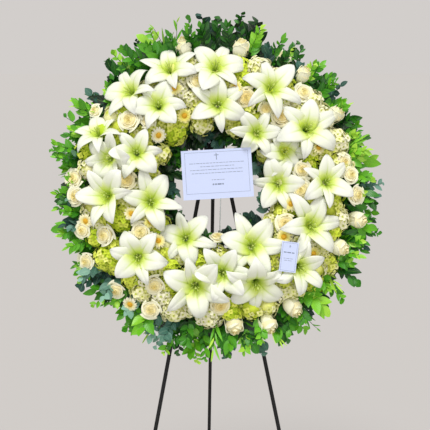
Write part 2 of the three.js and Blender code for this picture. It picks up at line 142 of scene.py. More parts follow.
# %% Petals give way to the card and the tag
# Middle x, y and z, roll and lean in degrees, of the card and of the tag.
CARD_PLACE, TAG_PLACE = (2, -124, 40, 3, 3), (210, -152, -209, -8, 4)
# Middle x, middle z, half width, half height and y of the back of each, with a margin.
CARDS = [(2, 40, 109, 78, -117), (210, -209, 31, 50, -145)]
EDGE = 14  # mm


def behind_cards(points):
    """Presses what stands in front of the card or the tag back to their plane."""
    points = points.copy()
    for x, z, half_width, half_height, plane in CARDS:
        off = np.maximum(np.abs(points[:, 0] - x) - half_width, np.abs(points[:, 2] - z) - half_height)
        limit = plane - 1.6 * np.maximum(off, 0)
        points[:, 1] = np.where(off < EDGE, np.maximum(points[:, 1], limit), points[:, 1])
    return points


print("a point in front of the card goes back to", behind_cards(np.array([[2.0, -150.0, 40.0]])))

# %% [markdown]
# ## Sheets of points
# A petal or a leaf is a thin sheet with a shape of its own. It could be modelled once and copied,
# or grown with modifiers, but then all would be alike. Each one here is a grid of points instead:
# rows run from its base to its tip, and columns run across it. A pile collects many grids and
# makes one mesh of them. Every point keeps three numbers that the materials read: how far along
# and across its sheet it lies, and the tint of that one petal. Each sheet also gets its own tile
# of a UV map, so that the colours can be baked without being torn.

# %% The faces of a grid
def grid_faces(rows, cols, round_):
    """Row and column of each face's four corners. A round grid is closed into a tube."""
    row, col = np.meshgrid(np.arange(rows - 1), np.arange(cols if round_ else cols - 1), indexing="ij")
    return np.stack([row, col, row, col + 1, row + 1, col + 1, row + 1, col], -1).reshape(-1, 4, 2)


print("faces of 3 by 3 points:", len(grid_faces(3, 3, False)), "or as a tube:", len(grid_faces(3, 3, True)))


# %% A pile of sheets
class Pile:
    """Grids of points, collected until they become one mesh."""

    def __init__(self):
        self.points, self.quads, self.tiles, self.wear = [], [], [], []
        self.numbers = {"along": [], "across": [], "tint": []}
        self.total, self.sheets = 0, 0

    def add(self, grids, tint=0.0, wear=0, round_=False):
        """Adds one grid of points, or a stack of grids of one size. A round one is a tube.

        Wear says which of the piece's finishes the sheets wear.
        """
        grids = np.asarray(grids, float)
        grids = grids[None] if grids.ndim == 3 else grids
        n, rows, cols = grids.shape[:3]
        corners = grid_faces(rows, cols, round_)
        quads = corners[..., 0] * cols + corners[..., 1] % cols
        starts = self.total + np.arange(n) * rows * cols
        tile = np.repeat(self.sheets + np.arange(n), len(quads))
        place = np.tile(corners / [rows - 1, cols if round_ else cols - 1], (n, 1, 1))
        self.points.append(grids.reshape(-1, 3))
        self.quads.append((quads[None] + starts[:, None, None]).reshape(-1, 4))
        self.tiles.append(np.concatenate([np.repeat(tile, 4)[:, None], place.reshape(-1, 2)], 1))
        self.wear.append(np.full(n * len(quads), wear))
        across = np.linspace(0, 1, cols) if round_ else np.linspace(-1, 1, cols)
        values = {"along": np.linspace(0, 1, rows)[None, :, None], "across": across[None, None]}
        values["tint"] = np.broadcast_to(np.asarray(tint, float), (n,))[:, None, None]
        for name, value in values.items():
            self.numbers[name].append(np.broadcast_to(value, (n, rows, cols)).ravel())
        self.total += n * rows * cols
        self.sheets += n


print("numbers kept at each point:", ", ".join(Pile().numbers))


# %% A pile becomes a mesh that rides on its body
def tiled_uv(pile):
    """A UV place for each face corner, with every sheet in a tile of its own."""
    tile, v, u = np.concatenate(pile.tiles).T
    side = math.ceil(math.sqrt(pile.sheets))
    return np.stack([tile % side + 0.05 + 0.9 * u, tile // side + 0.05 + 0.9 * v], -1) / side


def make_piece(pile, name, finishes, body="easel_front", printed=False):
    """Makes the mesh, in metres in the room, and lets it ride on its body.

    Printed strips stand in front of their card already, so they aren't pressed back.
    """
    mesh = bpy.data.meshes.new(name)
    quads, wear = np.concatenate(pile.quads), np.concatenate(pile.wear)
    points = np.concatenate(pile.points)
    points = points if printed else behind_cards(points)
    mesh.from_pydata(to_room(points).tolist(), [], quads.tolist())
    for number, values in pile.numbers.items():
        mesh.attributes.new(number, "FLOAT", "POINT").data.foreach_set("value", np.concatenate(values))
    mesh.uv_layers.new(name="OFBake").data.foreach_set("uv", tiled_uv(pile).ravel())
    mesh.polygons.foreach_set("material_index", wear.astype(int))
    mesh.polygons.foreach_set("use_smooth", np.ones(len(quads), bool))
    for finish in finishes:
        mesh.materials.append(finish)
    piece = bpy.data.objects.new(name, mesh)
    bpy.context.scene.collection.objects.link(piece)
    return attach(piece, body)


# %% [markdown]
# ## Lines and stems
# Stems, twigs, filaments and the easel's rods are round and follow a gently bent line. Blender's
# bevelled curves could draw them, but each would be an object of its own. Here a smooth line is
# laid through a few stations, and a ring of points at each step makes a grid, so that a stem goes
# into the same pile as the petals that it carries.

# %% Smooth lines and round stems
def smooth_line(stations, count):
    """Evenly stepped points on a smooth curve through the stations."""
    s = np.asarray(stations, float)
    s = np.concatenate([[2 * s[0] - s[1]], s, [2 * s[-1] - s[-2]]])
    t = np.linspace(0, len(s) - 3, count)
    i = np.minimum(t.astype(int), len(s) - 4)
    f = (t - i)[:, None]
    a, b, c, d = s[i], s[i + 1], s[i + 2], s[i + 3]
    return 0.5 * (2 * b + (c - a) * f + (2 * a - 5 * b + 4 * c - d) * f**2 + (3 * b - a - 3 * c + d) * f**3)


def unit(vectors):
    """The same vectors with a length of one."""
    return vectors / np.linalg.norm(vectors, axis=-1, keepdims=True)


ODD_WAY = [0.31, 0.42, 0.85]  # no stem runs exactly this way, so a ring can be set out from it


def stem(line, radii, sides=6):
    """A round stem along a line of points, with a radius at each point."""
    line = np.asarray(line, float)
    along = unit(np.gradient(line, axis=0))
    aside = unit(np.cross(along, ODD_WAY))
    up = np.cross(along, aside)
    angle = np.linspace(0, 2 * math.pi, sides, endpoint=False)[None, :, None]
    ring = aside[:, None] * np.cos(angle) + up[:, None] * np.sin(angle)
    radii = np.broadcast_to(np.asarray(radii, float), (len(line),))
    return line[:, None] + ring * radii[:, None, None]


print("a stem along 5 points is a grid of", stem(np.arange(15.0).reshape(5, 3), 1).shape)

# %% [markdown]
# ## How a finish is made
# A finish could be an image wrapped round each piece, but images blur close up and don't fit
# petals of many shapes. Every finish below is one Principled shader with a small tree of nodes. One
# function adds a node with its settings and links, and one turns an sRGB colour into the
# linear values that the shader works in.


# %% Colours and nodes
def colour(hex_code):
    """An sRGB hex colour as linear red, green, blue and alpha."""
    values = [int(hex_code[i : i + 2], 16) / 255 for i in (1, 3, 5)]
    return [v / 12.92 if v <= 0.04045 else ((v + 0.055) / 1.055) ** 2.4 for v in values] + [1.0]


def node(tree, kind, inputs=(), stops=(), **settings):
    """Adds a node. An input's value is a number, a colour, or the output that it is linked to."""
    made = tree.nodes.new(kind)
    for name, value in settings.items():
        setattr(made, name, value)
    for i, (place, code) in enumerate(stops):
        band = made.color_ramp.elements
        stop = band[i] if i < len(band) else band.new(place)
        stop.position, stop.color = place, colour(code) if isinstance(code, str) else [code] * 3 + [1]
    for socket, value in dict(inputs).items():
        if isinstance(value, bpy.types.NodeSocket):
            tree.links.new(value, made.inputs[socket])
        else:
            made.inputs[socket].default_value = value
    return made


def new_finish(name, **shader):
    """A material with its Principled shader set, its tree, and the shader's node."""
    made = bpy.data.materials.new(name)
    made.use_nodes = True
    principled = made.node_tree.nodes["Principled BSDF"]
    for socket, value in shader.items():
        principled.inputs[socket.replace("_", " ")].default_value = value
    return made, made.node_tree, principled


def wire(tree, source, shader, socket="Base Color", output=0):
    """Links a node to the shader."""
    tree.links.new(source.outputs[output], shader.inputs[socket])


print("mid grey is", [round(v, 3) for v in colour("#808080")])

# %% [markdown]
# ## Lily petals
# A white lily has six petals: three broad inner ones and, between and behind them, three narrow
# outer ones. They stand up together as a green throat and then roll back to pointed tips. Each has
# a groove down its middle and a loose wave along its edges. A sculpted mesh copied 24 times would
# look copied, so one function draws a petal from a few lengths that vary from petal to petal.


# %% A lily petal
# The petal's middle line from base to tip: distance from the axis and rise, by the lily's reach.
PETAL_LINE = [[0.05, -0.42], [0.12, -0.27], [0.29, -0.09], [0.56, 0.02], [0.82, 0.02], [1, -0.06]]


def lily_petal(reach, half_width, cup, curl, twist, wave, sway, rows=17, cols=11):
    """Points of one petal in the flower's own frame: aside, out from the axis, out of the face."""
    line = smooth_line(PETAL_LINE, rows)
    radius, rise = line.T[:, :, None] * reach
    radius, rise = radius * (1 - 0.3 * cup), rise + cup * radius
    v, u = np.linspace(0, 1, rows)[:, None], np.linspace(-1, 1, cols)[None]
    slope = unit(np.gradient(line, axis=0))[:, :, None]
    half = half_width * reach * (np.sin(math.pi * v**0.92) ** 0.82 + 0.1 * (1 - v) ** 2 + 0.008)
    aside = u * half
    # Lift is out of the sheet: the throat rolls in, the edges roll back, then groove, wave and twist.
    throat = np.clip(1 - v / 0.42, 0, 1)
    lift = throat * aside**2 / (2 * np.maximum(radius, 5))
    lift = lift - 0.5 * np.clip(v - 0.3, 0, 1) * aside**2 / (half_width * reach)
    lift = lift - 0.028 * reach * np.exp(-((u / 0.16) ** 2)) * np.sin(math.pi * v) ** 0.6
    lift = lift + wave * reach * u**2 * np.sin(9.5 * v + 2.2 * np.sign(u) + 40 * wave) * np.sin(math.pi * v)
    lift = lift + aside * np.sin(twist * v)
    aside = aside * np.cos(twist * v) + sway * reach * v**2
    out = radius - slope[:, 1] * lift
    up = rise + slope[:, 0] * lift - curl * reach * v**5
    return np.stack([np.broadcast_to(aside, up.shape), np.broadcast_to(out, up.shape), up], -1)


print("a petal is a grid of", lily_petal(90, 0.27, 0.1, 0.1, 0, 0.02, 0).shape)

# %% [markdown]
# ## Lily petal surface
# A lily petal is a wet, waxy skin over white flesh. The wax gives a soft, broad shine, so its
# roughness is near 0.4 with the index of refraction of plant wax, 1.45. The throat is lime, a pale
# green rib fades out towards the tip, and fine ridges run the length of the petal. A drawn texture
# would stretch on petals of different widths, so the colours follow the numbers along and across
# each petal. The real ridges are about 1 mm apart, and are drawn at 3 mm so that they show.

# %% Waxy lily petal
lily_skin, tree, shader = new_finish("waxy_lily_petal", Roughness=0.42, IOR=1.45, Sheen_Weight=0.08)
along = node(tree, "ShaderNodeAttribute", attribute_name="along").outputs["Fac"]
across = node(tree, "ShaderNodeAttribute", attribute_name="across").outputs["Fac"]
aside = node(tree, "ShaderNodeMath", {0: across}, operation="ABSOLUTE").outputs[0]
LILY_BANDS = [(0.0, "#8fae04"), (0.16, "#b4d00c"), (0.25, "#cce428"),
              (0.36, "#e0ef84"), (0.5, "#eef3da"), (1.0, "#f0f2ee")]
bands = node(tree, "ShaderNodeValToRGB", {0: along}, LILY_BANDS)
rib = node(tree, "ShaderNodeValToRGB", {0: aside}, [(0, 1.0), (0.05, 0.6), (0.14, 0)])
fade = node(tree, "ShaderNodeValToRGB", {0: along}, [(0.3, 1), (0.72, 0)])
green = node(tree, "ShaderNodeMath", {0: rib.outputs[0], 1: fade.outputs[0]}, operation="MULTIPLY")
ribbed = node(tree, "ShaderNodeMix", {0: green.outputs[0], 6: bands.outputs[0], 7: colour("#bcd81c")},
              data_type="RGBA")
mottle = node(tree, "ShaderNodeTexNoise", {"Scale": 60.0, "Detail": 3.0})
shade = node(tree, "ShaderNodeValToRGB", {0: mottle.outputs[0]}, [(0.35, 0), (0.7, 0.22)])
petal = node(tree, "ShaderNodeMix", {0: shade.outputs[0], 6: ribbed.outputs[2], 7: colour("#e4ebe4")},
             data_type="RGBA")
wire(tree, petal, shader, output=2)
RIDGES = 9  # on each side of the rib, about 3 mm apart
ridge = node(tree, "ShaderNodeMath", {0: across, 1: RIDGES * math.pi * 2}, operation="MULTIPLY")
ridge = node(tree, "ShaderNodeMath", {0: ridge.outputs[0]}, operation="COSINE")
bump = node(tree, "ShaderNodeBump", {"Height": ridge.outputs[0], "Distance": 0.0006, "Strength": 0.22})
wire(tree, bump, shader, "Normal")
print("lily finish:", lily_skin.name)

# %% Pale stamen
# A filament is the same moist flesh as the petal, green at its foot and paler at its tip.
pale_stamen, tree, shader = new_finish("fleshy_pale_stamen", Roughness=0.45, IOR=1.45)
along = node(tree, "ShaderNodeAttribute", attribute_name="along").outputs["Fac"]
wire(tree, node(tree, "ShaderNodeValToRGB", {0: along}, [(0.0, "#8ba52b"), (1.0, "#cfe07a")]), shader)
print("stamen finish:", pale_stamen.name)

# %% [markdown]
# ## Green stems, sepals and leaves
# Leaves are the same waxy skin over green flesh. A material for each shrub would repeat one tree
# four times, so one finish takes the tint of each leaf, from old dark leaves to young lime ones.
# Only the eucalyptus has its own, because its grey bloom is a matt wax. A pale rib runs down the
# middle, and about six side veins leave it on each half as shallow grooves.


# %% Glossy leaf and bloomed eucalyptus leaf
def leaf_finish(name, tints, rib_colour, roughness):
    """A leaf's material: its tints from dark to light, the colour of its rib, and its roughness."""
    made, tree, shader = new_finish(name, Roughness=roughness, IOR=1.45)
    along = node(tree, "ShaderNodeAttribute", attribute_name="along").outputs["Fac"]
    across = node(tree, "ShaderNodeAttribute", attribute_name="across").outputs["Fac"]
    tint = node(tree, "ShaderNodeAttribute", attribute_name="tint").outputs["Fac"]
    aside = node(tree, "ShaderNodeMath", {0: across}, operation="ABSOLUTE").outputs[0]
    mottle = node(tree, "ShaderNodeTexNoise", {"Scale": 90.0, "Detail": 4.0}).outputs[0]
    spread = node(tree, "ShaderNodeMath", {0: mottle, 1: 0.35, 2: tint}, operation="MULTIPLY_ADD")
    level = node(tree, "ShaderNodeMath", {0: spread.outputs[0], 1: 0.17}, operation="SUBTRACT")
    green = node(tree, "ShaderNodeValToRGB", {0: level.outputs[0]}, tints)
    rib = node(tree, "ShaderNodeValToRGB", {0: aside}, [(0, 0.4), (0.08, 0.0)])
    veined = node(tree, "ShaderNodeMix", {0: rib.outputs[0], 6: green.outputs[0], 7: colour(rib_colour)},
                  data_type="RGBA")
    wire(tree, veined, shader, output=2)
    slant = node(tree, "ShaderNodeMath", {0: aside, 1: -0.35, 2: along}, operation="MULTIPLY_ADD")
    veins = node(tree, "ShaderNodeMath", {0: slant.outputs[0], 1: 40.0}, operation="MULTIPLY")
    veins = node(tree, "ShaderNodeMath", {0: veins.outputs[0]}, operation="SINE")
    bump = node(tree, "ShaderNodeBump", {"Height": veins.outputs[0], "Distance": 0.0005, "Strength": 0.2})
    wire(tree, bump, shader, "Normal")
    return made


GREENS = [(0.0, "#071c0e"), (0.25, "#124019"), (0.5, "#34821a"), (0.75, "#6cbe24"), (1.0, "#b6e44c")]
GREYS = [(0.0, "#12322c"), (0.5, "#3a6a5c"), (1.0, "#8dbba6")]
glossy_leaf = leaf_finish("glossy_waxed_leaf", GREENS, "#7db545", 0.36)
bloomed_leaf = leaf_finish("bloomed_eucalyptus_leaf", GREYS, "#a9c9b4", 0.55)
print("leaf finishes:", glossy_leaf.name, bloomed_leaf.name)

# %% [markdown]
# ## The 24 lilies
# The florist turns each lily to the light as it goes in, so every one has a place on the clock, a
# reach, a way it faces and a turn of its first broad petal. They could be scattered by a rule, but
# each is large enough to be known by its place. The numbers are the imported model's, so each bloom
# fills the cup that stands for it there. Only the three along the top stand about 10 mm further
# out, as soft petals may, and so hang a little over the rim.

# %% Where the lilies stand
# Each row: clock, distance from the middle, reach, faces right, faces up, turn, lift.
LILIES = [
    [1, 249, 84, 0, 4, 0, 4], [150, 202, 94, 0, 6, 40, 8], [-167, 304, 96, -4, -10, 50, 6],
    [57, 328, 92, 12, 12, 8, 4], [-131, 317, 86, -8, -4, -20, 4], [-101, 203, 90, -2, 8, 40, 6],
    [-94, 333, 88, -24, 2, 30, 0], [29, 345, 88, 8, 16, 55, 4], [112, 305, 94, 16, 4, 25, 2],
    [177, 254, 82, 0, 0, 25, 2], [-35, 303, 82, -6, 16, 25, 0], [159, 319, 90, 4, -34, 0, 2],
    [134, 347, 82, 22, -10, 65, 0], [-66, 260, 74, 0, 6, 27, 2], [87, 331, 82, 10, 10, -5, 0],
    [-21, 390, 83, -10, 30, -15, 0], [0, 368, 86, 2, 26, -40, 0], [-42, 395, 82, -34, 20, 30, 0],
    [37, 204, 76, 4, 2, -35, -4], [63, 231, 70, 4, -6, 30, -14], [87, 182, 82, -10, -4, -25, -6],
    [-147, 176, 80, -4, 8, 45, -4], [-64, 396, 78, -20, 40, -20, 0], [-75, 335, 76, -24, -6, -35, -16],
]


def look(right, up, turned):
    """The frame of a flower, as columns: aside, towards its first petal, out of its face."""
    right, up = math.radians(right), math.radians(up)
    out = np.array([math.sin(right) * math.cos(up), -math.cos(right) * math.cos(up), math.sin(up)])
    first = unit(np.array([0, 0, 1]) - out * out[2])
    first = np.array(Matrix.Rotation(-math.radians(turned), 3, out.tolist())) @ first
    return np.stack([np.cross(first, out), first, out], -1)


def spun(points, degrees):
    """Points of a flower's own frame, turned clockwise round its axis as seen from the front."""
    return points @ np.array(Matrix.Rotation(math.radians(degrees), 3, "Z"))


print("lilies:", len(LILIES))

# %% [markdown]
# ## A lily put together
# Three broad petals and three narrow ones behind them stand round a thick pistil and six filaments,
# and a green stem runs back into the foam. One bloom modelled by hand would be quicker, but 24
# copies of it would show. Each lily draws its own cup and width, and each petal its own length,
# curl, twist and wave. A thin solid modifier then gives the petals their 0.9 mm of flesh.

# %% Petals and stamens of one lily
BROAD, NARROW = (0.31, 1.1), (0.215, 1.15)  # a petal's half width and length, by the lily's reach
FILAMENT, PISTIL = [1.3, 1, 0.9, 0.8, 0.8, 1, 0.4], [3, 2.6, 1.7, 1.4, 1.3, 1.4, 2.6, 0.8]  # radii in mm


def lily_petals(reach):
    """The six petals of one lily, in its own frame."""
    petals, cup, slender = [], rng.uniform(-0.05, 0.34), rng.uniform(0.86, 1.1)
    for k in range(6):
        wide, long = NARROW if k % 2 else BROAD
        half_width = wide * slender * rng.uniform(0.9, 1.1)
        length = reach * long * rng.uniform(0.89, 1.1)
        curl, twist = rng.uniform(-0.02, 0.44), rng.uniform(-0.6, 0.6)
        wave, sway = rng.uniform(0.02, 0.05), rng.uniform(-0.1, 0.1)
        petal = lily_petal(length, half_width, cup, curl, twist, wave, sway)
        petal[..., 2] -= 0.035 * reach if k % 2 else 0
        petals.append(spun(petal, 60 * k + rng.uniform(-5, 5)))
    return np.stack(petals)


def stamen_lines(reach):
    """Lines of the six filaments and the pistil, in the lily's own frame, each with its radii."""
    for k in range(6):
        lean = rng.uniform(0.12, 0.2)
        stations = [[0, 2, -0.36 * reach], [0, 0.07 * reach, -0.1 * reach], [0, lean * reach, 0.1 * reach]]
        yield spun(smooth_line(stations, len(FILAMENT)), 60 * k + 30 + rng.uniform(-9, 9)), FILAMENT
    tip = [0.03 * reach, 0.02 * reach, 0.16 * reach]
    yield smooth_line([[0, 0, -0.4 * reach], [0.02 * reach, 0, -0.1 * reach], tip], len(PISTIL)), PISTIL


print("points along a filament and along the pistil:", len(FILAMENT), len(PISTIL))

# %% Build the lilies
FOAM_FRONT = -36.0
ROOTS = (219, 273)  # stems are pushed into the foam between these distances from the middle
FLESH = 0.0009  # metres
blooms, lily_faces = [], []  # the places of the blooms, which the small flowers keep out of


def foam_root(clock, radius):
    """Where the stem of a flower at this place goes into the foam."""
    return on_ring(clock, np.clip(radius, *ROOTS), FOAM_FRONT)


for number, (clock, radius, reach, right, up, turned, lift) in enumerate(LILIES, 1):
    bloom, axes = Pile(), look(right, up, turned)
    middle = on_ring(clock, radius, -(swell(radius) + 28 + lift))
    bloom.add(lily_petals(reach) @ axes.T + middle, rng.uniform(0, 1, 6))
    for line, radii in stamen_lines(reach):
        bloom.add(stem(line @ axes.T + middle, radii), wear=1, round_=True)
    blooms.append((middle - axes[:, 2] * 0.14 * reach, 0.36 * reach))
    lily_faces.append((middle, axes[:, 2], reach))
    base, foot = middle - axes[:, 2] * 0.41 * reach, foam_root(clock, radius)
    line = smooth_line([base, (base * 2 + foot) / 3 - axes[:, 2] * 8, foot], 8)
    bloom.add(stem(line, 3.2, 8), 0.5, wear=2, round_=True)
    piece = make_piece(bloom, f"lily_bloom_{number:02d}", [lily_skin, pale_stamen, glossy_leaf])
    skin = piece.modifiers.new("petal_flesh", "SOLIDIFY")
    skin.thickness, skin.offset = FLESH, 0
    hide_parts(f"lily_{number:02d}")
print("faces on the last lily:", len(piece.data.polygons))

# %% [markdown]
# ## Roses
# A rose is a spiral: each petal starts 137.5 degrees round from the last and wraps part of the way
# round the one inside it. It could be sculpted, but the spiral is exact enough to write down. The
# real petals are packed too tight to see down between them, so a low mound closes the gaps. The
# heart petals stand up tight, and the outer ones are wider, lower and roll back at the rim. One
# function winds the spiral. Its height and openness give either the open roses among the lilies or
# the tight buds that stand out at the rim. Five narrow sepals and a green hip close it below.


# %% Wind a rose
GOLDEN_TURN = 2.4  # radians, 137.5 degrees


def rose(pile, base, axes, radius, height, petals, openness, warmth):
    """Adds a rose's petals to a pile. Warmth is how far the peach of the heart spreads."""
    rows, cols = 9, 9
    v, u = np.linspace(0, 1, rows)[:, None], np.linspace(-1, 1, cols)[None]
    sheets, tints = [], []
    for k in range(petals):
        age = k / (petals - 1)
        ring = radius * (0.07 + 0.83 * age**0.85) * rng.uniform(0.96, 1.04)
        top = height * (1 - 0.42 * openness * age**1.7) * rng.uniform(0.95, 1.03)
        flare = ring * (0.02 + openness * 0.36 * age)
        tuck = 0.72 - 0.35 * openness * age
        line = smooth_line(
            [[0.25 * ring, 0], [0.88 * ring, 0.3 * top], [ring, 0.66 * top],
             [ring * (0.62 + tuck * 0.2) + flare, 0.95 * top],
             [ring * (0.55 + tuck * 0.2) + 1.9 * flare, (1 - 0.05 * age) * top]], rows)
        out, rise = line.T[:, :, None]
        wrap = (2.0 - 1.15 * age) * (0.35 + 0.65 * np.sin(math.pi * np.clip(v, 0, 0.75) / 1.5) ** 0.8)
        angle = GOLDEN_TURN * k + u * wrap
        out = out * (1 + 0.05 * u) + openness * age * 0.12 * radius * u**2 * v**3
        rise = rise - (0.1 + 0.12 * age) * top * np.abs(u) ** 2.6 * v**2
        rise = rise + 0.03 * top * rng.uniform(-1, 1) * np.sin(3 * u + k) * v**2
        point = 0.035 * height * np.exp(-((u / 0.2) ** 2)) * v**6
        sheets.append(np.stack([np.sin(angle) * out, np.cos(angle) * out, rise + point], -1))
        tints.append(np.clip(age + 0.25 - 0.5 * warmth + rng.uniform(-0.05, 0.05), 0, 1))
    pile.add(np.stack(sheets) @ axes.T + base, tints)
    add_mound(pile, base, axes, radius, height, openness, warmth)


def add_mound(pile, base, axes, radius, height, openness, warmth):
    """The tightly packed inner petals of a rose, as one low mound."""
    age, angle = np.linspace(0, 0.92, 7)[:, None], np.linspace(0, 2 * math.pi, 18, endpoint=False)[None]
    ring, top = radius * (0.07 + 0.83 * age**0.85) * (age > 0), height * (0.86 - 0.4 * openness * age**1.7)
    rise = top - 0.25 * height * age**6 + 0 * angle
    packed = np.stack([ring * np.sin(angle), ring * np.cos(angle), rise], -1)
    pile.add(packed @ axes.T + base, 0.5 - 0.4 * warmth, 0, True)


print("a rose of 22 petals goes round", round(22 * GOLDEN_TURN / (2 * math.pi), 1), "times")


# %% Sepals under a rose
SEPALS = 5


def sepals(pile, base, axes, radius, spread, wear):
    """Five narrow green sepals under a rose, and the swelling they spring from."""
    v, u = np.linspace(0, 1, 6)[:, None], np.linspace(-1, 1, 3)[None]
    for k in range(SEPALS):
        out = radius * (0.2 + 0.85 * np.sin(v * 1.5)) + spread * v**2
        rise = radius * (-0.12 + 0.9 * v - spread / radius * 0.7 * v**2) + 0 * u
        aside = u * radius * 0.2 * np.sin(math.pi * v**0.7) ** 0.8
        sheet = np.stack([aside, out + 0 * u, rise], -1)
        pile.add(spun(sheet, 360 / SEPALS * k + rng.uniform(-8, 8)) @ axes.T + base, 0.55, wear)
    hip = [[0, 0, -0.42 * radius], [0, 0, -0.25 * radius], [0, 0, 0], [0, 0, 0.14 * radius]]
    radii = [0.12 * radius, 0.3 * radius, 0.32 * radius, 0.1 * radius]
    pile.add(stem(np.array(hip) @ axes.T + base, radii, 10), 0.5, wear, True)


print("sepals under each rose:", SEPALS)

# %% [markdown]
# ## Rose petal surface
# A rose petal is velvety: tiny cones on its skin scatter light, so it is rougher than a lily and
# has a faint sheen. The cones are far too fine to draw, and the sheen stands for them. The ivory
# petals keep a peach heart, and turn greenish at the base. Veins fan out from the base as a low
# relief. Each petal's tint comes from its age in the spiral, so one finish serves heart and rim.

# %% Velvety ivory rose petal
rose_skin, tree, shader = new_finish(
    "velvety_ivory_rose", Roughness=0.58, IOR=1.42, Sheen_Weight=0.25, Sheen_Roughness=0.5)
along = node(tree, "ShaderNodeAttribute", attribute_name="along").outputs["Fac"]
across = node(tree, "ShaderNodeAttribute", attribute_name="across").outputs["Fac"]
tint = node(tree, "ShaderNodeAttribute", attribute_name="tint").outputs["Fac"]
ROSE_BANDS = [(0.0, "#fbe08a"), (0.22, "#fbecaa"), (0.5, "#fcf3c2"), (0.75, "#fbf7d2"), (1.0, "#fafae0")]
heart = node(tree, "ShaderNodeValToRGB", {0: tint}, ROSE_BANDS)
base = node(tree, "ShaderNodeValToRGB", {0: along}, [(0.05, 0.7), (0.45, 0.0)])
foot = node(tree, "ShaderNodeMix", {0: base.outputs[0], 6: heart.outputs[0], 7: colour("#eef0a6")},
            data_type="RGBA")
mottle = node(tree, "ShaderNodeTexNoise", {"Scale": 110.0, "Detail": 3.0})
shade = node(tree, "ShaderNodeValToRGB", {0: mottle.outputs[0]}, [(0.4, 0), (0.75, 0.22)])
velvet = node(tree, "ShaderNodeMix", {0: shade.outputs[0], 6: foot.outputs[2], 7: colour("#f6edb2")},
              data_type="RGBA")
wire(tree, velvet, shader, output=2)
fan = node(tree, "ShaderNodeMath", {0: across, 1: 38.0}, operation="MULTIPLY")
fan = node(tree, "ShaderNodeMath", {0: fan.outputs[0]}, operation="COSINE")
bump = node(tree, "ShaderNodeBump", {"Height": fan.outputs[0], "Distance": 0.0004, "Strength": 0.25})
wire(tree, bump, shader, "Normal")
print("rose finish:", rose_skin.name)

# %% [markdown]
# ## Rose buds at the rim
# Nine roses in bud stand clear of the rim, each on its stem. They are few and easy to see, so none
# is left to chance: each has its own place, tilt and length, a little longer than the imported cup
# that stands for it. A bud is the same spiral wound with 12 petals, tall and nearly closed.

# %% Buds that stand out at the rim
# Each row: clock, distance of its base from the middle, forward tilt, length.
BUDS = [
    [-12.5, 406, 32, 74], [10.5, 396, 32, 76], [38, 406, 36, 70], [58.5, 394, 36, 74],
    [103, 406, 32, 72], [116, 382, 36, 74], [147.5, 390, 30, 80], [159.5, 398, 28, 80],
    [173, 374, 32, 82],
]
BUD_ROOT = 270  # where their stems go into the foam, from the middle of the ring


def axes_along(out, turned=0.0):
    """The frame of a flower that looks along a line."""
    out = unit(np.asarray(out, float))
    first = unit(np.cross(np.cross(out, [0.1, -0.3, 1]), out))
    first = np.array(Matrix.Rotation(-math.radians(turned), 3, out.tolist())) @ first
    return np.stack([np.cross(first, out), first, out], -1)


for number, (clock, radius, tilt, length) in enumerate(BUDS, 1):
    bud = Pile()
    base = on_ring(clock, radius, -RIM_DEPTH - 18)
    out = on_ring(clock, math.cos(math.radians(tilt)), -math.sin(math.radians(tilt)))
    axes = axes_along(out, rng.uniform(0, 360))
    blooms.append((base + out * 0.5 * length, 0.42 * length))
    rose(bud, base + out * 3, axes, 0.4 * length, 0.94 * length, 12, 0.4, 0.0)
    sepals(bud, base + out * 5, axes, 0.34 * length, 7, 1)
    foot = on_ring(clock, BUD_ROOT, FOAM_FRONT)
    line = smooth_line([base, base * 0.6 + foot * 0.4 - out * 6, foot], 7)
    bud.add(stem(line, 2.8, 8), 0.4, 1, True)
    piece = make_piece(bud, f"rim_rose_{number}", [rose_skin, glossy_leaf])
    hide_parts(f"rose_bud_{number}")
print("faces on the last bud:", len(piece.data.polygons))

# %% [markdown]
# ## Open roses
# The 28 open cream roses sit between the lilies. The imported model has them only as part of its
# lumpy cushions, so each gets its place here. Those near the rim are pulled out of the leaves and
# turned to the front, as a florist does to show them. Two small functions say how far.

# %% How flowers stand near the rim
def rim_lift(radius):
    """How far the flowers at the rim are pulled out of the leaves, in mm."""
    return 26 * np.clip((radius - 392) / 30, 0, 1)


def to_viewer(clock, radius):
    """The way a small flower faces: out of the swell, but turned to the front near the rim."""
    return unit(facing_out(clock, radius) + np.array([0, -1.1, 0]) * np.clip((radius - 340) / 70, 0.1, 1))


print("a flower at 420 mm is pulled out by", rim_lift(420), "mm")

# %% Open roses among the lilies
# Each row: clock, distance from the middle, radius of the bloom, warmth of its heart, lift.
ROSES = [
    [28, 462, 26, 0.1, -22], [43, 394, 29, 0.1, 4], [19, 284, 28, 0.9, 6], [43, 290, 30, 0.8, 6],
    [33, 276, 22, 0.7, 0], [-10, 326, 27, 0.4, 6], [-52, 330, 31, 0.35, 10], [-46, 286, 22, 0.3, 4],
    [-57, 440, 22, 0.1, -10], [-86, 434, 28, 0.3, 0], [-93, 426, 27, 0.3, 0], [-85, 268, 27, 0.9, 8],
    [-83, 306, 24, 0.5, 4], [92, 252, 32, 0.4, 10], [93, 430, 28, 0.3, 4], [118, 226, 27, 0.7, 8],
    [85, 412, 25, 0.2, 0], [79, 396, 25, 0.3, 0], [-120, 260, 29, 0.35, 8], [-113, 368, 28, 0.2, 6],
    [-147, 350, 27, 0.4, 6], [-119, 454, 25, 0.15, -4], [-135, 434, 25, 0.3, 0],
    [-151, 420, 27, 0.3, 2], [179, 354, 29, 0.7, 6], [179, 142, 23, 0.4, 12], [-107, 424, 24, 0.3, 0],
    [79, 262, 24, 0.5, 4],
]
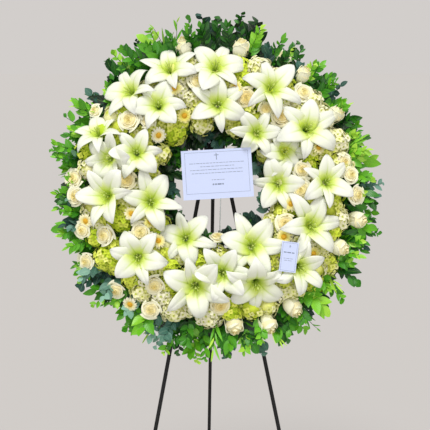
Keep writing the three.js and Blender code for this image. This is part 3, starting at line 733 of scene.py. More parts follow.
for number, (clock, radius, size, warmth, lift) in enumerate(ROSES, 1):
    bloom = Pile()
    out = to_viewer(clock, radius)
    front = on_ring(clock, radius, -(swell(radius) + 12 + lift + rim_lift(radius)))
    base = front - out * size * 0.95
    blooms.append((front - out * size * 0.3, size))
    axes = axes_along(out + rng.uniform(-0.12, 0.12, 3), rng.uniform(0, 360))
    rose(bloom, base, axes, size * 1.02, size * 1.08, 22, 1.0, warmth)
    sepals(bloom, base, axes, size * 0.6, 8, 1)
    foot = foam_root(clock, radius)
    line = smooth_line([base - out * 5, (base + foot) / 2 - out * 10, foot], 6)
    bloom.add(stem(line, 2.8, 7), 0.4, 1, True)
    piece = make_piece(bloom, f"open_rose_{number:02d}", [rose_skin, glossy_leaf])
print("open roses:", len(ROSES), "of", len(piece.data.polygons), "faces each")

# %% [markdown]
# ## Daisy surfaces
# The small yellow-eyed daisies are spray chrysanthemums. Their rays are satin petals with a fold or
# two along them, cream on some blooms and lemon on others. The eye is packed with tiny florets of
# about 1 mm. Modelling those would cost more faces than all the petals, so they are a bump with
# cells, drawn at 1.5 mm so that they show.

# %% Satin cream ray
ray_skin, tree, shader = new_finish("satin_cream_ray", Roughness=0.52, IOR=1.43, Sheen_Weight=0.15)
along = node(tree, "ShaderNodeAttribute", attribute_name="along").outputs["Fac"]
across = node(tree, "ShaderNodeAttribute", attribute_name="across").outputs["Fac"]
tint = node(tree, "ShaderNodeAttribute", attribute_name="tint").outputs["Fac"]
CREAM_RAY = [(0.0, "#f0de62"), (0.35, "#faf0b4"), (0.7, "#fcf9e2"), (1.0, "#fcfbf0")]
LEMON_RAY = [(0.0, "#dcc92c"), (0.5, "#f0e56a"), (1.0, "#f6f0a0")]
white = node(tree, "ShaderNodeValToRGB", {0: along}, CREAM_RAY)
lemon = node(tree, "ShaderNodeValToRGB", {0: along}, LEMON_RAY)
ray = node(tree, "ShaderNodeMix", {0: tint, 6: white.outputs[0], 7: lemon.outputs[0]}, data_type="RGBA")
wire(tree, ray, shader, output=2)
fold = node(tree, "ShaderNodeMath", {0: across, 1: 9.0}, operation="MULTIPLY")
fold = node(tree, "ShaderNodeMath", {0: fold.outputs[0]}, operation="COSINE")
bump = node(tree, "ShaderNodeBump", {"Height": fold.outputs[0], "Distance": 0.0004, "Strength": 0.35})
wire(tree, bump, shader, "Normal")
print("ray finish:", ray_skin.name)

# %% Grainy yellow eye
eye_skin, tree, shader = new_finish("grainy_yellow_eye", Roughness=0.7, IOR=1.45)
where = node(tree, "ShaderNodeTexCoord")
cells = node(tree, "ShaderNodeTexVoronoi", {"Vector": where.outputs["Object"], "Scale": 650.0})
grain = node(tree, "ShaderNodeValToRGB", {0: cells.outputs["Distance"]}, [(0.0, "#fbdb4c"), (0.6, "#dda21a")])
wire(tree, grain, shader)
grains = {"Height": cells.outputs["Distance"], "Distance": 0.0012, "Strength": 0.8}
bump = node(tree, "ShaderNodeBump", grains, invert=True)
wire(tree, bump, shader, "Normal")
print("eye finish:", eye_skin.name)

# %% [markdown]
# ## Daisies
# Two rows of narrow rays, 15 and 17 of them, lie round a domed eye. The dome could be half a
# sphere, but a grid of rings goes into the pile like a petal does. Each ray has its own length,
# droop and share of lemon.

# %% Build the daisies
# Each row: clock, distance from the middle, radius, lift, how lemon its rays are.
DAISIES = [
    [-23, 320, 23, 10, 0.8], [-48, 233, 25, 6, 0.15], [-24, 234, 24, 8, 1], [69, 326, 22, 6, 0.7],
    [-104, 402, 24, 4, 0.4], [-132, 237, 24, 8, 0.6], [-143, 434, 25, 2, 0.2], [-117, 222, 23, 6, 0.9],
    [-107, 266, 23, 8, 0.5], [127, 249, 25, 8, 0.8], [125, 350, 23, 4, 0.9], [103, 228, 24, 4, 0.6],
    [11, 303, 22, 6, 0.9],
]


def daisy(pile, middle, axes, size, lemon):
    """Adds a daisy's two rows of rays and its eye to a pile."""
    v, u = np.linspace(0, 1, 5)[:, None], np.linspace(-1, 1, 3)[None]
    for row, count in ((0, 15), (1, 17)):
        for k in range(count):
            length = size * (0.9 if row else 1.0) * rng.uniform(0.9, 1.05)
            rise = size * (0.1 + 0.12 * row) * np.sin(2.3 * v) - size * rng.uniform(0.0, 0.12) * v**2
            half = size * 0.155 * np.sin(math.pi * (0.12 + 0.8 * v)) ** 0.6
            out = 0.18 * size + v * (length - 0.18 * size) + 0 * u
            sheet = np.stack([u * half, out, rise + 0.04 * size * u**2], -1)
            sheet = spun(sheet, 360 / count * (k + 0.5 * row) + rng.uniform(-4, 4))
            pile.add(sheet @ axes.T + middle, np.clip(lemon + rng.uniform(-0.15, 0.15), 0, 1))
    tall = np.linspace(0, math.pi / 2, 6)[:, None]
    flat, angle = np.cos(tall), np.linspace(0, 2 * math.pi, 16, endpoint=False)[None]
    dome = np.stack([flat * np.sin(angle), flat * np.cos(angle), 0.7 * np.sin(tall) + 0 * angle], -1)
    pile.add(dome * size * [0.38, 0.38, 0.44] @ axes.T + middle, 0, 1, True)


for number, (clock, radius, size, lift, lemon) in enumerate(DAISIES, 1):
    bloom = Pile()
    out = to_viewer(clock, radius)
    middle = on_ring(clock, radius, -(swell(radius) + 8 + lift + rim_lift(radius)))
    blooms.append((middle, size * 0.9))
    daisy(bloom, middle, axes_along(out + rng.uniform(-0.15, 0.15, 3), rng.uniform(0, 360)), size, lemon)
    foot = foam_root(clock, radius)
    bloom.add(stem(smooth_line([middle, (middle + foot) / 2 - out * 8, foot], 6), 1.6, 6), 0.5, 2, True)
    piece = make_piece(bloom, f"daisy_{number:02d}", [ray_skin, eye_skin, glossy_leaf])
print("daisies:", len(DAISIES))

# %% [markdown]
# ## Hydrangea petal surface
# A hydrangea's petal is thin and matt, with a light freckle of green. The heads run from cream to
# lime as they age, and florets on the sides of a head are tinted limer as a painted shade, so one
# finish takes each floret's tint. The dot in the middle of each floret is the true flower, and is
# drawn as colour at the base of its four petals.

# %% Thin hydrangea petal
floret_skin, tree, shader = new_finish("thin_hydrangea_petal", Roughness=0.6, IOR=1.42, Sheen_Weight=0.1)
along = node(tree, "ShaderNodeAttribute", attribute_name="along").outputs["Fac"]
tint = node(tree, "ShaderNodeAttribute", attribute_name="tint").outputs["Fac"]
LIMES = [(0.0, "#fcfae0"), (0.3, "#f8f7be"), (0.6, "#ecf26a"), (0.85, "#d4ea30"), (1.0, "#b8d818")]
lime = node(tree, "ShaderNodeValToRGB", {0: tint}, LIMES)
dot = node(tree, "ShaderNodeValToRGB", {0: along}, [(0.05, 1.0), (0.3, 0.0)])
eyed = node(tree, "ShaderNodeMix", {0: dot.outputs[0], 6: lime.outputs[0], 7: colour("#bcc832")},
            data_type="RGBA")
mottle = node(tree, "ShaderNodeTexNoise", {"Scale": 200.0, "Detail": 2.0})
shade = node(tree, "ShaderNodeValToRGB", {0: mottle.outputs[0]}, [(0.4, 0), (0.8, 0.25)])
freckled = node(tree, "ShaderNodeMix", {0: shade.outputs[0], 6: eyed.outputs[2], 7: colour("#e2de62")},
                data_type="RGBA")
wire(tree, freckled, shader, output=2)
bump = node(tree, "ShaderNodeBump", {"Height": mottle.outputs[0], "Distance": 0.0006, "Strength": 0.5})
wire(tree, bump, shader, "Normal")
print("hydrangea finish:", floret_skin.name)

# %% [markdown]
# ## Where the hydrangea heads stand
# Lime and cream hydrangea heads are the ground of the wreath and fill every gap. They are listed one
# by one where their colour matters. The rest are spread over the ring by a rule, since nobody could
# tell one from another: a gap gets a head, unless a head or a rose already stands there.

# %% Where the heads stand
# Each row: clock, distance from the middle, radius of the head, tint from cream 0 to lime 1.
HEADS = [
    [-49, 381, 42, 0.9], [-73, 430, 42, 0.9], [-65, 334, 36, 0.8], [-37, 186, 38, 0.85],
    [-58, 176, 30, 0.45], [-12, 178, 33, 0.4], [11, 396, 42, 0.8], [8, 312, 34, 0.6],
    [20, 412, 40, 0.15], [21, 247, 34, 0.7], [19, 172, 32, 0.5], [56, 164, 26, 0.6],
    [-78, 186, 26, 0.6], [-38, 240, 34, 0.5], [122, 174, 26, 0.35], [-124, 178, 24, 0.7],
    [69, 424, 42, 0.2], [72, 360, 40, 0.5], [77, 287, 36, 0.85], [-109, 306, 38, 0.9],
    [-122, 424, 40, 0.7], [-127, 400, 36, 0.85], [-149, 278, 36, 0.8], [-166, 212, 36, 0.8],
    [-160, 414, 42, 0.2], [-176, 412, 42, 0.1], [124, 444, 42, 0.55], [135, 440, 38, 0.7],
    [80, 414, 38, 0.25], [57, 424, 38, 0.12], [111, 192, 32, 0.55], [160, 274, 34, 0.75],
    [145, 356, 36, 0.6], [-125, 200, 34, 0.8], [-103, 266, 34, 0.5], [48, 420, 38, 0.1],
    [92, 372, 38, 0.7], [-93, 378, 36, 0.3], [28, 400, 34, 0.2], [-170, 350, 34, 0.5],
    [164, 400, 38, 0.6],
]
taken = [(c, r, s) for c, r, s, _ in HEADS] + [(c, r, s - 6) for c, r, s, *_ in ROSES]
for _ in range(4000):
    clock, radius = rng.uniform(-180, 180), rng.uniform(178, 412)
    size = rng.uniform(30, 38)
    here = on_ring(clock, radius)
    if all(np.linalg.norm(here - on_ring(c, r)) > 0.62 * (size + s) for c, r, s in taken):
        taken.append((clock, radius, size))
        HEADS.append([clock, radius, size, rng.choice([0.1, 0.3, 0.55, 0.8])])
print("hydrangea heads:", len(HEADS))

# %% [markdown]
# ## A hydrangea head
# A head is a dome of small flowers, each with four rounded petals round a dot. A sphere with a bumpy
# surface would look like a ball at its edge, so each floret is four small sheets, spread evenly
# over the dome and tilted at random. Florets that would poke into a bloom are left out, as the bloom
# would have pressed them aside. A green heart of stalks closes the view between them.


# %% Florets that keep clear of the blooms
def floret_petal():
    """One rounded petal of a floret, base at its dot, with a reach of one."""
    v, u = np.linspace(0, 1, 3)[:, None], np.linspace(-1, 1, 4)[None]
    half = 0.56 * np.array([0.3, 1.0, 0.5])[:, None]
    return np.stack([u * half, v - 0.12 * u**2 * v + 0 * u, 0.3 * v - 0.34 * v**2 + 0.12 * u**2], -1)


def pressed_aside(spot):
    """Whether a floret here would poke into a bloom, or through the face of a lily."""
    if any(np.linalg.norm(spot - at) < clear for at, clear in blooms):
        return True
    return any((spot - at) @ face > -0.16 * reach and np.linalg.norm(spot - at) < 0.95 * reach
               for at, face, reach in lily_faces)


print("a floret's petal is a grid of", floret_petal().shape)


# %% Build the heads
def hydrangea(pile, middle, out, size, tone, floret):
    """A dome of four-petalled florets round a middle, over a green heart of stalks."""
    count = int(6.2 * (size / floret) ** 2)
    k = np.arange(count) + 0.5
    rise, spin = 1 - 2 * k / count, math.pi * (1 + 5**0.5) * k
    ways = np.stack([np.cos(spin) * np.sqrt(1 - rise**2), rise, np.sin(spin) * np.sqrt(1 - rise**2)], -1)
    ways = ways[ways @ out > -0.12]
    petal = floret_petal()
    for way in ways:
        axes = axes_along(way + rng.uniform(-0.38, 0.38, 3), rng.uniform(0, 90))
        lump = 1 + 0.07 * np.sin(way @ [5, 7, 6] + size * 3)
        spot = middle + way * size * lump * rng.uniform(0.9, 1.08)
        if pressed_aside(spot):
            continue
        reach = floret * rng.uniform(0.8, 1.15)
        # A floret turned away from the front gets a tint further towards lime, a painted shade at the sides
        # of the dome. The rest of its tint is the head's age and a random spread.
        shade = np.clip(tone + rng.uniform(-0.22, 0.22) + 0.1 * (0.5 - way @ out), 0, 1)
        four = np.stack([spun(petal, 90 * q + rng.uniform(-6, 6)) for q in range(4)])
        pile.add(four * reach @ axes.T + spot, shade)
    tall = np.linspace(0, 2.1, 7)[:, None]
    flat, angle = np.sin(tall), np.linspace(0, 2 * math.pi, 14, endpoint=False)[None]
    heart = np.stack([flat * np.sin(angle), flat * np.cos(angle), np.cos(tall) + 0 * angle], -1)
    pile.add(heart * size * 0.84 @ axes_along(out).T + middle, min(1, tone + 0.2), 0, True)


for number, (clock, radius, size, tone) in enumerate(HEADS, 1):
    head, out = Pile(), facing_out(clock, radius)
    middle = on_ring(clock, radius, -(swell(radius) + 6 + 0.8 * rim_lift(radius))) - out * size
    hydrangea(head, middle, out, size, tone, 13.0 - 3.2 * tone)
    piece = make_piece(head, f"hydrangea_{number:02d}", [floret_skin, glossy_leaf])
print("faces on the last head:", len(piece.data.polygons))

# %% [markdown]
# ## The bed under the flowers
# Between the heads the eye falls on short cut leaves and shadow. Thousands of scraps would cost
# much and hardly show, so the bed is one closed, lumpy roll of moss and leaf scraps, a little lower
# than the flowers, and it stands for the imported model's four cushions. Its clumps are about 7 mm
# across, with tufts of 3 mm on them. The collar of broad leaves covers its back.

# %% Clumped moss
moss, tree, shader = new_finish("clumped_moss", Roughness=0.9, IOR=1.4)
where = node(tree, "ShaderNodeTexCoord").outputs["Object"]
clumps = node(tree, "ShaderNodeTexVoronoi", {"Vector": where, "Scale": 140.0})
tufts = node(tree, "ShaderNodeTexNoise", {"Vector": where, "Scale": 320.0, "Detail": 4.0})
deep = {0: clumps.outputs["Distance"], 1: tufts.outputs[0]}
mixed = node(tree, "ShaderNodeMath", deep, operation="MULTIPLY")
MOSS = [(0.08, "#0d2410"), (0.28, "#2a5220"), (0.5, "#587b2c")]
green = node(tree, "ShaderNodeValToRGB", {0: mixed.outputs[0]}, MOSS)
wire(tree, green, shader)
bump = node(tree, "ShaderNodeBump", {"Height": mixed.outputs[0], "Distance": 0.004, "Strength": 0.9})
wire(tree, bump, shader, "Normal")
print("bed finish:", moss.name)

# %% The bed
# The roll's section, as distance from the middle of the ring and y.
BED_SECTION = [[184, -14], [188, -44], [212, -78], [252, -98], [312, -98], [362, -78], [402, -44], [416, -14],
               [350, -13], [300, -30], [196, -30], [184, -14]]
section = smooth_line(BED_SECTION, 34)[:-1]
clocks = np.linspace(0, 360, 180, endpoint=False)
waves = np.radians(clocks[:, None] * [7, 12, 19, 31] + [10, 90, 200, 310])
lumps = (np.sin(waves)[:, None] * np.cos(np.arange(33)[:, None] * [0.9, 0.7, 1.3, 1.9])).sum(-1)
front = np.clip((-section[:, 1] - 20) / 30, 0, 1)
rolled = on_ring(clocks[:, None], section[:, 0] + 2.0 * lumps * front, section[:, 1] + 2.6 * lumps * front)
bed = Pile()
bed.add(np.concatenate([rolled, rolled[:1]]), round_=True)
piece = make_piece(bed, "moss_bed", [moss])
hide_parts(*[f"flower_cushion_{quarter}" for quarter in (1, 2, 3, 4)])
print("bed faces:", len(piece.data.polygons))

# %% [markdown]
# ## Greenery
# Four kinds of green stand out at the rim: sprigs of small oval boxwood leaves, round grey-green
# eucalyptus, broad pointed salal leaves, and long narrow lime leaves. A sprig is a bent twig with
# leaves set along it in turn. Flat cards with a cut-out outline would do from afar, but they show
# as cards from the side, so every leaf is a folded, drooping sheet. Each kind is a row of lengths,
# so that one function grows them all.


# %% A stack of leaves
def leaf_sheets(at, ways, faces, length, width, droop, fold):
    """A stack of leaves, each with its own place, way it points, face, length and width."""
    v, u = np.linspace(0, 1, 6)[:, None], np.linspace(-1, 1, 5)[None]
    half = np.sin(math.pi * (0.03 + 0.95 * v) ** 0.85) ** 0.85
    ways, n = unit(ways), len(at)
    faces = unit(faces - ways * (faces * ways).sum(-1, keepdims=True))
    sides = np.cross(ways, faces)
    each = (length, width, droop, fold)
    length, width, droop, fold = [np.broadcast_to(x, n)[:, None, None, None] for x in each]
    v, u, half = v[None, ..., None], u[None, ..., None], half[None, ..., None]
    across = u * half * width / 2
    rise = fold * np.abs(u) * half * width / 2 - droop * length * v**2
    at, sides, ways, faces = [x[:, None, None] for x in (at, sides, ways, faces)]
    return at + sides * across + ways * (v * length) + faces * rise


one = leaf_sheets(np.zeros((1, 3)), np.eye(3)[:1], np.eye(3)[1:2], 60, 30, 0.1, 0.1)
print("one leaf is a grid of", one[0].shape, "and", round(float(np.ptp(one[..., 2])), 1), "mm wide")

# %% Grow a sprig
# Each kind: leaf length, width, leaves on a twig, spread from the twig in degrees, finish, tints.
KINDS = {
    "boxwood": (34, 20, 15, 60, 0, (0.15, 0.8)),
    "eucalyptus": (36, 28, 10, 60, 1, (0.1, 0.95)),
    "salal": (62, 35, 7, 50, 0, (0.1, 0.75)),
    "narrow": (64, 10, 6, 26, 0, (0.55, 1.0)),
}


def sprig(pile, start, way, reach, kind, painted_shade=0.0):
    """A twig with its leaves, pushed in at start and growing towards way. The last argument is a painted
    shade that shifts their tint, darker for sprigs set deep in the greenery.
    """
    length, width, count, spread, wear, (dark, light) = KINDS[kind]
    way = unit(way)
    bend = rng.uniform(-0.45, 0.45, 3)
    middle, tip = start + way * reach * 0.5 + bend * reach * 0.12, start + (way + bend * 0.5) * reach
    line = smooth_line([start, middle, tip], 9)
    pile.add(stem(line, np.linspace(1.7, 0.7, 9), 5), 0.2, 0, True)
    places = np.linspace(0.22, 1, count)
    at = np.stack([np.interp(places * 8, np.arange(9), line[:, axis]) for axis in range(3)], -1)
    tangent = unit(np.gradient(line, axis=0))[np.minimum((places * 8).astype(int), 8)]
    front = unit(np.cross(np.cross(tangent, [0, -1, 0.25]), tangent))
    aside = np.cross(tangent, front)
    side = np.where(np.arange(count) % 2, 1.0, -1.0)[:, None] * rng.uniform(0.7, 1.1, (count, 1))
    side[-1] = 0.1
    angle = np.radians(spread) * (1 - 0.35 * places[:, None]) * rng.uniform(0.7, 1.25, (count, 1))
    lift = rng.uniform(-0.7, 0.9, (count, 1))
    ways = tangent * np.cos(angle) + (aside * side + front * lift) * np.sin(angle)
    faces = front + aside * rng.uniform(-0.9, 0.9, (count, 1)) + tangent * rng.uniform(-0.6, 0.5, (count, 1))
    size = rng.uniform(0.7, 1.2, count) * (1.08 - 0.35 * places)
    # Leaves are lighter towards the young tip, and the last term is a painted shade that darkens sprigs set
    # deep in the greenery.
    tints = rng.uniform(dark, light) + rng.uniform(-0.14, 0.14, count) + 0.34 * places - 0.16 + painted_shade
    widths = width * size * rng.uniform(0.85, 1.1, count)
    droop, fold = rng.uniform(-0.1, 0.3, count), rng.uniform(0.05, 0.3, count)
    leaves = leaf_sheets(at, ways, faces, length * size, widths, droop, fold)
    pile.add(leaves, np.clip(tints, 0, 1), wear)


LEAF_FINISHES = [glossy_leaf, bloomed_leaf]
print("kinds of greenery:", ", ".join(KINDS))

# %% [markdown]
# ## Sprigs round the rim
# The florist sets the rim in three layers, longest at the back, and trims the outline round at the
# end. The greens reach further at the top, as a crest, and at the foot, as a skirt. The kinds
# follow one another in a loose order, written out as letters, because a random one would bunch one
# kind together. Each sprig is its own piece, so any of them can be taken out.

# %% Sprigs round the rim
# The florist's order round the clock, one letter a sprig: boxwood, eucalyptus, salal, narrow.
ORDER = "bebsbbenbbesbbnbesbbebsbbbensbbebbsb"
NAMES = {"b": "boxwood", "e": "eucalyptus", "s": "salal", "n": "narrow"}
# How much further the greens reach, in mm, at each clock: a crest at the top, a skirt at the foot.
MORE = [
    [-180, 26], [-165, 34], [-150, 4], [-100, 0], [-60, 4], [-45, -8], [-30, 14], [-15, 10], [0, 48],
    [15, 36], [30, -10], [45, 16], [60, 0], [95, 0], [120, 10], [150, 18], [180, 22],
]
TRIMMED_AT = 515.0  # mm from the middle of the ring
# Each layer from the back: where its twigs start, their y, how far they reach, degrees between them.
LAYERS = [(352, -16, 134, 5.5), (368, -34, 118, 6.0), (386, -52, 82, 6.5)]
grown = 0


def trim(points):
    """Draws in what reaches past the round outline that the florist trims the greens to."""
    far = np.hypot(points[:, 0], points[:, 2])[:, None]
    kept = (TRIMMED_AT + 0.4 * (far - TRIMMED_AT)) / far
    return points * np.where(far > TRIMMED_AT, kept, 1) ** [1, 0, 1]


for layer, (base, depth, reach, step) in enumerate(LAYERS):
    for place in range(int(360 / step)):
        clock = place * step + rng.uniform(-2.5, 2.5) + layer * 4
        kind = NAMES[ORDER[(place * (1 + 2 * layer)) % len(ORDER)]]
        out = on_ring(clock + rng.uniform(-16, 16), 1.0, rng.uniform(-0.42, 0.06) - 0.1 * layer)
        twig = Pile()
        start = on_ring(clock, base + rng.uniform(-8, 12), depth + rng.uniform(-8, 8))
        more = np.interp((clock + 180) % 360 - 180, *np.transpose(MORE))
        trimmed = 1 - 0.1 * abs(math.sin(math.radians(clock))) ** 8
        # The back layers get darker leaves than the front one, a painted shade in the depth of the greenery.
        sprig(twig, start, out, (reach * rng.uniform(0.84, 1.12) + more) * trimmed, kind, 0.08 * layer - 0.12)
        twig.points = [trim(points) for points in twig.points]
        grown += 1
        piece = make_piece(twig, f"{kind}_sprig_{grown:02d}", LEAF_FINISHES)
print("sprigs round the rim:", grown)

# %% [markdown]
# ## The collar of broad leaves
# Behind the sprigs a collar of broad dark leaves hides the tray and the foam, from the back too.
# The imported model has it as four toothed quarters. Leaves laid in rows like shingles, with each row
# over the gaps of the last, take their place, and each quarter stands for one of those solids.

# %% The collar of broad leaves
# Each row of a quarter: distance from the middle, leaves, y.
COLLAR_ROWS = [(296, 12, -4), (338, 14, -10), (372, 16, -17), (392, 20, -30)]
for quarter in range(4):
    collar = Pile()
    for row, (radius, count, depth) in enumerate(COLLAR_ROWS):
        step = (np.arange(count) + 0.5 * (row % 2) + 0.25) * 90 / count
        clock = quarter * 90 + step + rng.uniform(-2, 2, count)
        at = on_ring(clock, radius + rng.uniform(-8, 8, count), depth + rng.uniform(-2, 2, count))
        ways = on_ring(clock + rng.uniform(-22, 22, count), 1.0, rng.uniform(-0.15, 0.02, count))
        faces = np.array([0, -1, 0]) + rng.uniform(-0.25, 0.25, (count, 3))
        lengths, widths = rng.uniform(70, 96, count), rng.uniform(36, 48, count)
        leaves = leaf_sheets(at, ways, faces, lengths, widths, 0.12, 0.12)
        collar.add(leaves, rng.uniform(0.0, 0.34, count))
    piece = make_piece(collar, f"leaf_collar_{quarter + 1}", LEAF_FINISHES)
    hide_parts(f"outer_foliage_{quarter + 1}")
print("collar leaves in a quarter:", sum(count for _, count, _ in COLLAR_ROWS))

# %% [markdown]
# ## Leaves that fringe the hole
# Short sprigs point in over the hole and soften its edge. They are thick over the top and down the
# left of the hole, and thin elsewhere, so they are set at two spacings round the clock. Broad dark
# leaves lie behind them and hide the tray's inner wall. Each could be laid by hand, but a scatter
# with its own turn and depth for every leaf looks more like growth.

# %% Leaves that fringe the hole
fringe = Pile()
for clock in np.concatenate([np.arange(-140, 80, 6.5), np.arange(84, 216, 15)]):
    start = on_ring(clock + rng.uniform(-4, 4), rng.uniform(182, 200), rng.uniform(-56, -12))
    way = on_ring(clock + 180 + rng.uniform(-40, 40), 1.0, rng.uniform(-0.35, 0.3))
    kind = rng.choice(["boxwood", "boxwood", "eucalyptus"])
    # These sprigs are darkened further, a painted shade inside the hole.
    sprig(fringe, start, way, rng.uniform(30, 66), kind, -0.3)
behind = 44  # broad leaves
clock = np.arange(-142, 84, 5.2) + rng.uniform(-2, 2, behind)
ways = on_ring(clock + 180 + rng.uniform(-30, 30, behind), 1.0, rng.uniform(-0.3, 0.1, behind))
faces = np.array([0, -1, 0]) + rng.uniform(-0.4, 0.4, (behind, 3))
at = on_ring(clock, rng.uniform(200, 212, behind), rng.uniform(-60, -12, behind))
lengths, widths = rng.uniform(44, 64, behind), rng.uniform(26, 36, behind)
fringe.add(leaf_sheets(at, ways, faces, lengths, widths, 0.15, 0.15), rng.uniform(0, 0.3, behind))
piece = make_piece(fringe, "hole_greenery", LEAF_FINISHES)
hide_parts("inner_foliage")
print("faces in the fringe:", len(piece.data.polygons))

# %% [markdown]
# ## Powder coat
# Such an easel is bent from 12 mm steel rod, degreased, sprayed with black powder and baked. The
# powder melts to a satin skin with a faint orange peel, about 2 mm from crest to crest, and dust
# greys it in patches. It is a plastic skin, so the shader isn't metallic.

# %% Satin black powder coat
powder_coat, tree, shader = new_finish("satin_black_powder_coat", Roughness=0.55, IOR=1.4)
where = node(tree, "ShaderNodeTexCoord").outputs["Object"]
peel = node(tree, "ShaderNodeTexNoise", {"Vector": where, "Scale": 450.0, "Detail": 2.0})
dust = node(tree, "ShaderNodeTexNoise", {"Vector": where, "Scale": 14.0, "Detail": 5.0})
black = node(tree, "ShaderNodeValToRGB", {0: dust.outputs[0]}, [(0.35, "#040405"), (0.7, "#0b0b0d")])
wire(tree, black, shader)
bump = node(tree, "ShaderNodeBump", {"Height": peel.outputs[0], "Distance": 0.0004, "Strength": 0.4})
wire(tree, bump, shader, "Normal")
print("easel finish:", powder_coat.name)

# %% [markdown]
# ## The easel's legs
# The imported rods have 12 flat sides, which show against a pale floor. Shading them smooth would
# leave the outline flat, so round tubes of 28 sides take their place. They start and end where
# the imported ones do, and are rounded over at the top as a cut and deburred rod is.

# %% Two ways to lay a rod
LEG_RADIUS = 6.0


def to_wreath(points):
    """Metres in the room, as millimetres on the leaning wreath."""
    return (np.asarray(points) - wreath_middle) @ turn * 1000


def rounded_rod(top, end):
    """A rod's surface from top to end, with a small dome at its top."""
    along = unit(end - top)
    dome = [top, top + along * 0.5, top + along * 1.6, top + along * 3.4]
    line, radii = [*dome, *np.linspace(top + along * 12, end, 10)], [0.2, 2.6, 4.6, 5.8] + [LEG_RADIUS] * 10
    return stem(line, radii, 28)


print("the middle of the wreath is at", to_wreath(wreath_middle), "on itself")

# %% The front legs
# The legs spread by 11 degrees, from a hub that their lines meet at, and lie in one plane (y).
LEG_SPREAD, LEG_PLANE, HUB_Z, LEG_TOP_Z = math.radians(11), 6.5, 240.0, 200.0
IN_FOOT = 0.009  # metres from the floor to the rod's end, inside the rubber foot
for word, side in (("left", -1), ("right", 1)):
    low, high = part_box(f"rubber_foot_{word}")
    top = np.array([side * (HUB_Z - LEG_TOP_Z) * math.tan(LEG_SPREAD), LEG_PLANE, LEG_TOP_Z])
    way = np.array([side * math.tan(LEG_SPREAD), 0, -1.0])
    foot = to_wreath([(low.x + high.x) / 2, (low.y + high.y) / 2, IN_FOOT])
    end = top + way * (top[2] - foot[2])
    leg = Pile()
    leg.add(rounded_rod(top, end), round_=True)
    piece = make_piece(leg, f"easel_leg_{word}", [powder_coat])
    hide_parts(f"front_leg_{word}")
print("front legs end", IN_FOOT, "m over the floor")

# %% The rear leg
# It hangs on the hinge bolt, so it rides on its own body.
REAR_SPLAY, ABOVE_HINGE = math.radians(20), 0.0163
hinge = np.array(frame["joints"][0]["pos_m"])
down = np.array([0, math.sin(REAR_SPLAY), -math.cos(REAR_SPLAY)])
top, end = hinge - down * ABOVE_HINGE, hinge + down * (hinge[2] - IN_FOOT) / math.cos(REAR_SPLAY)
leg = Pile()
leg.add(rounded_rod(to_wreath(top), to_wreath(end)), round_=True)
piece = make_piece(leg, "easel_leg_rear", [powder_coat], body="rear_leg")
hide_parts("rear_leg")
print("rear leg ends at", end.round(3))

# %% [markdown]
# ## Hardware, tray and foam
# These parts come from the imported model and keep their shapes, so each only needs its surface. The
# bolts and pegs are steel dipped in zinc, a bluish grey metal with a soft spangle. The feet are
# moulded rubber, matt and a little dusty. The tray is vacuum-formed from green sheet, smooth with a
# faint drawn streak. The foam is a wet, open sponge. The tie and the card's pick are clear plastic.

# %% Bright zinc plate
# Zinc crystals are under 1 mm across on small bolts, and are drawn at 2 mm so that they show.
zinc, tree, shader = new_finish("bright_zinc_plate", Metallic=1.0)
where = node(tree, "ShaderNodeTexCoord").outputs["Object"]
spangle = node(tree, "ShaderNodeTexVoronoi", {"Vector": where, "Scale": 500.0})
grey = node(tree, "ShaderNodeValToRGB", {0: spangle.outputs["Distance"]},
            [(0.0, "#aab0b6"), (0.7, "#cfd4d8")])
wire(tree, grey, shader)
shine = node(tree, "ShaderNodeMapRange", {0: spangle.outputs["Distance"], 3: 0.25, 4: 0.42})
wire(tree, shine, shader, "Roughness")
print("bolt finish:", zinc.name)

# %% Moulded black rubber
# Rubber scatters light all over, and dust settles in patches of about 8 mm.
rubber, tree, shader = new_finish("moulded_black_rubber", Roughness=0.85, IOR=1.52)
where = node(tree, "ShaderNodeTexCoord").outputs["Object"]
dust = node(tree, "ShaderNodeTexNoise", {"Vector": where, "Scale": 120.0, "Detail": 5.0})
black = node(tree, "ShaderNodeValToRGB", {0: dust.outputs[0]}, [(0.35, "#161616"), (0.75, "#303030")])
wire(tree, black, shader)
bump = node(tree, "ShaderNodeBump", {"Height": dust.outputs[0], "Distance": 0.0005, "Strength": 0.4})
wire(tree, bump, shader, "Normal")
print("foot finish:", rubber.name)

# %% Vacuum-formed tray
# The sheet stretches as it is drawn down, which leaves streaks 25 mm or so wide.
tray_plastic, tree, shader = new_finish("vacuum_formed_green_tray", Roughness=0.45, IOR=1.53)
where = node(tree, "ShaderNodeTexCoord").outputs["Object"]
streak = node(tree, "ShaderNodeTexNoise", {"Vector": where, "Scale": 40.0, "Detail": 3.0, "Distortion": 1.0})
green = node(tree, "ShaderNodeValToRGB", {0: streak.outputs[0]}, [(0.35, "#173b22"), (0.7, "#22522f")])
wire(tree, green, shader)
bump = node(tree, "ShaderNodeBump", {"Height": streak.outputs[0], "Distance": 0.001, "Strength": 0.3})
wire(tree, bump, shader, "Normal")
print("tray finish:", tray_plastic.name)

# %% Wet open-cell foam
# Real cells are about 0.3 mm across, and are drawn at 1.4 mm so that they show.
wet_foam, tree, shader = new_finish("wet_open_cell_foam", Roughness=0.75, IOR=1.4)
where = node(tree, "ShaderNodeTexCoord").outputs["Object"]
cells = node(tree, "ShaderNodeTexVoronoi", {"Vector": where, "Scale": 700.0})
green = node(tree, "ShaderNodeValToRGB", {0: cells.outputs["Distance"]}, [(0.0, "#0f2e18"), (0.6, "#2c6b3c")])
wire(tree, green, shader)
bump = node(tree, "ShaderNodeBump", {"Height": cells.outputs["Distance"], "Distance": 0.001, "Strength": 0.8})
wire(tree, bump, shader, "Normal")
print("foam finish:", wet_foam.name)

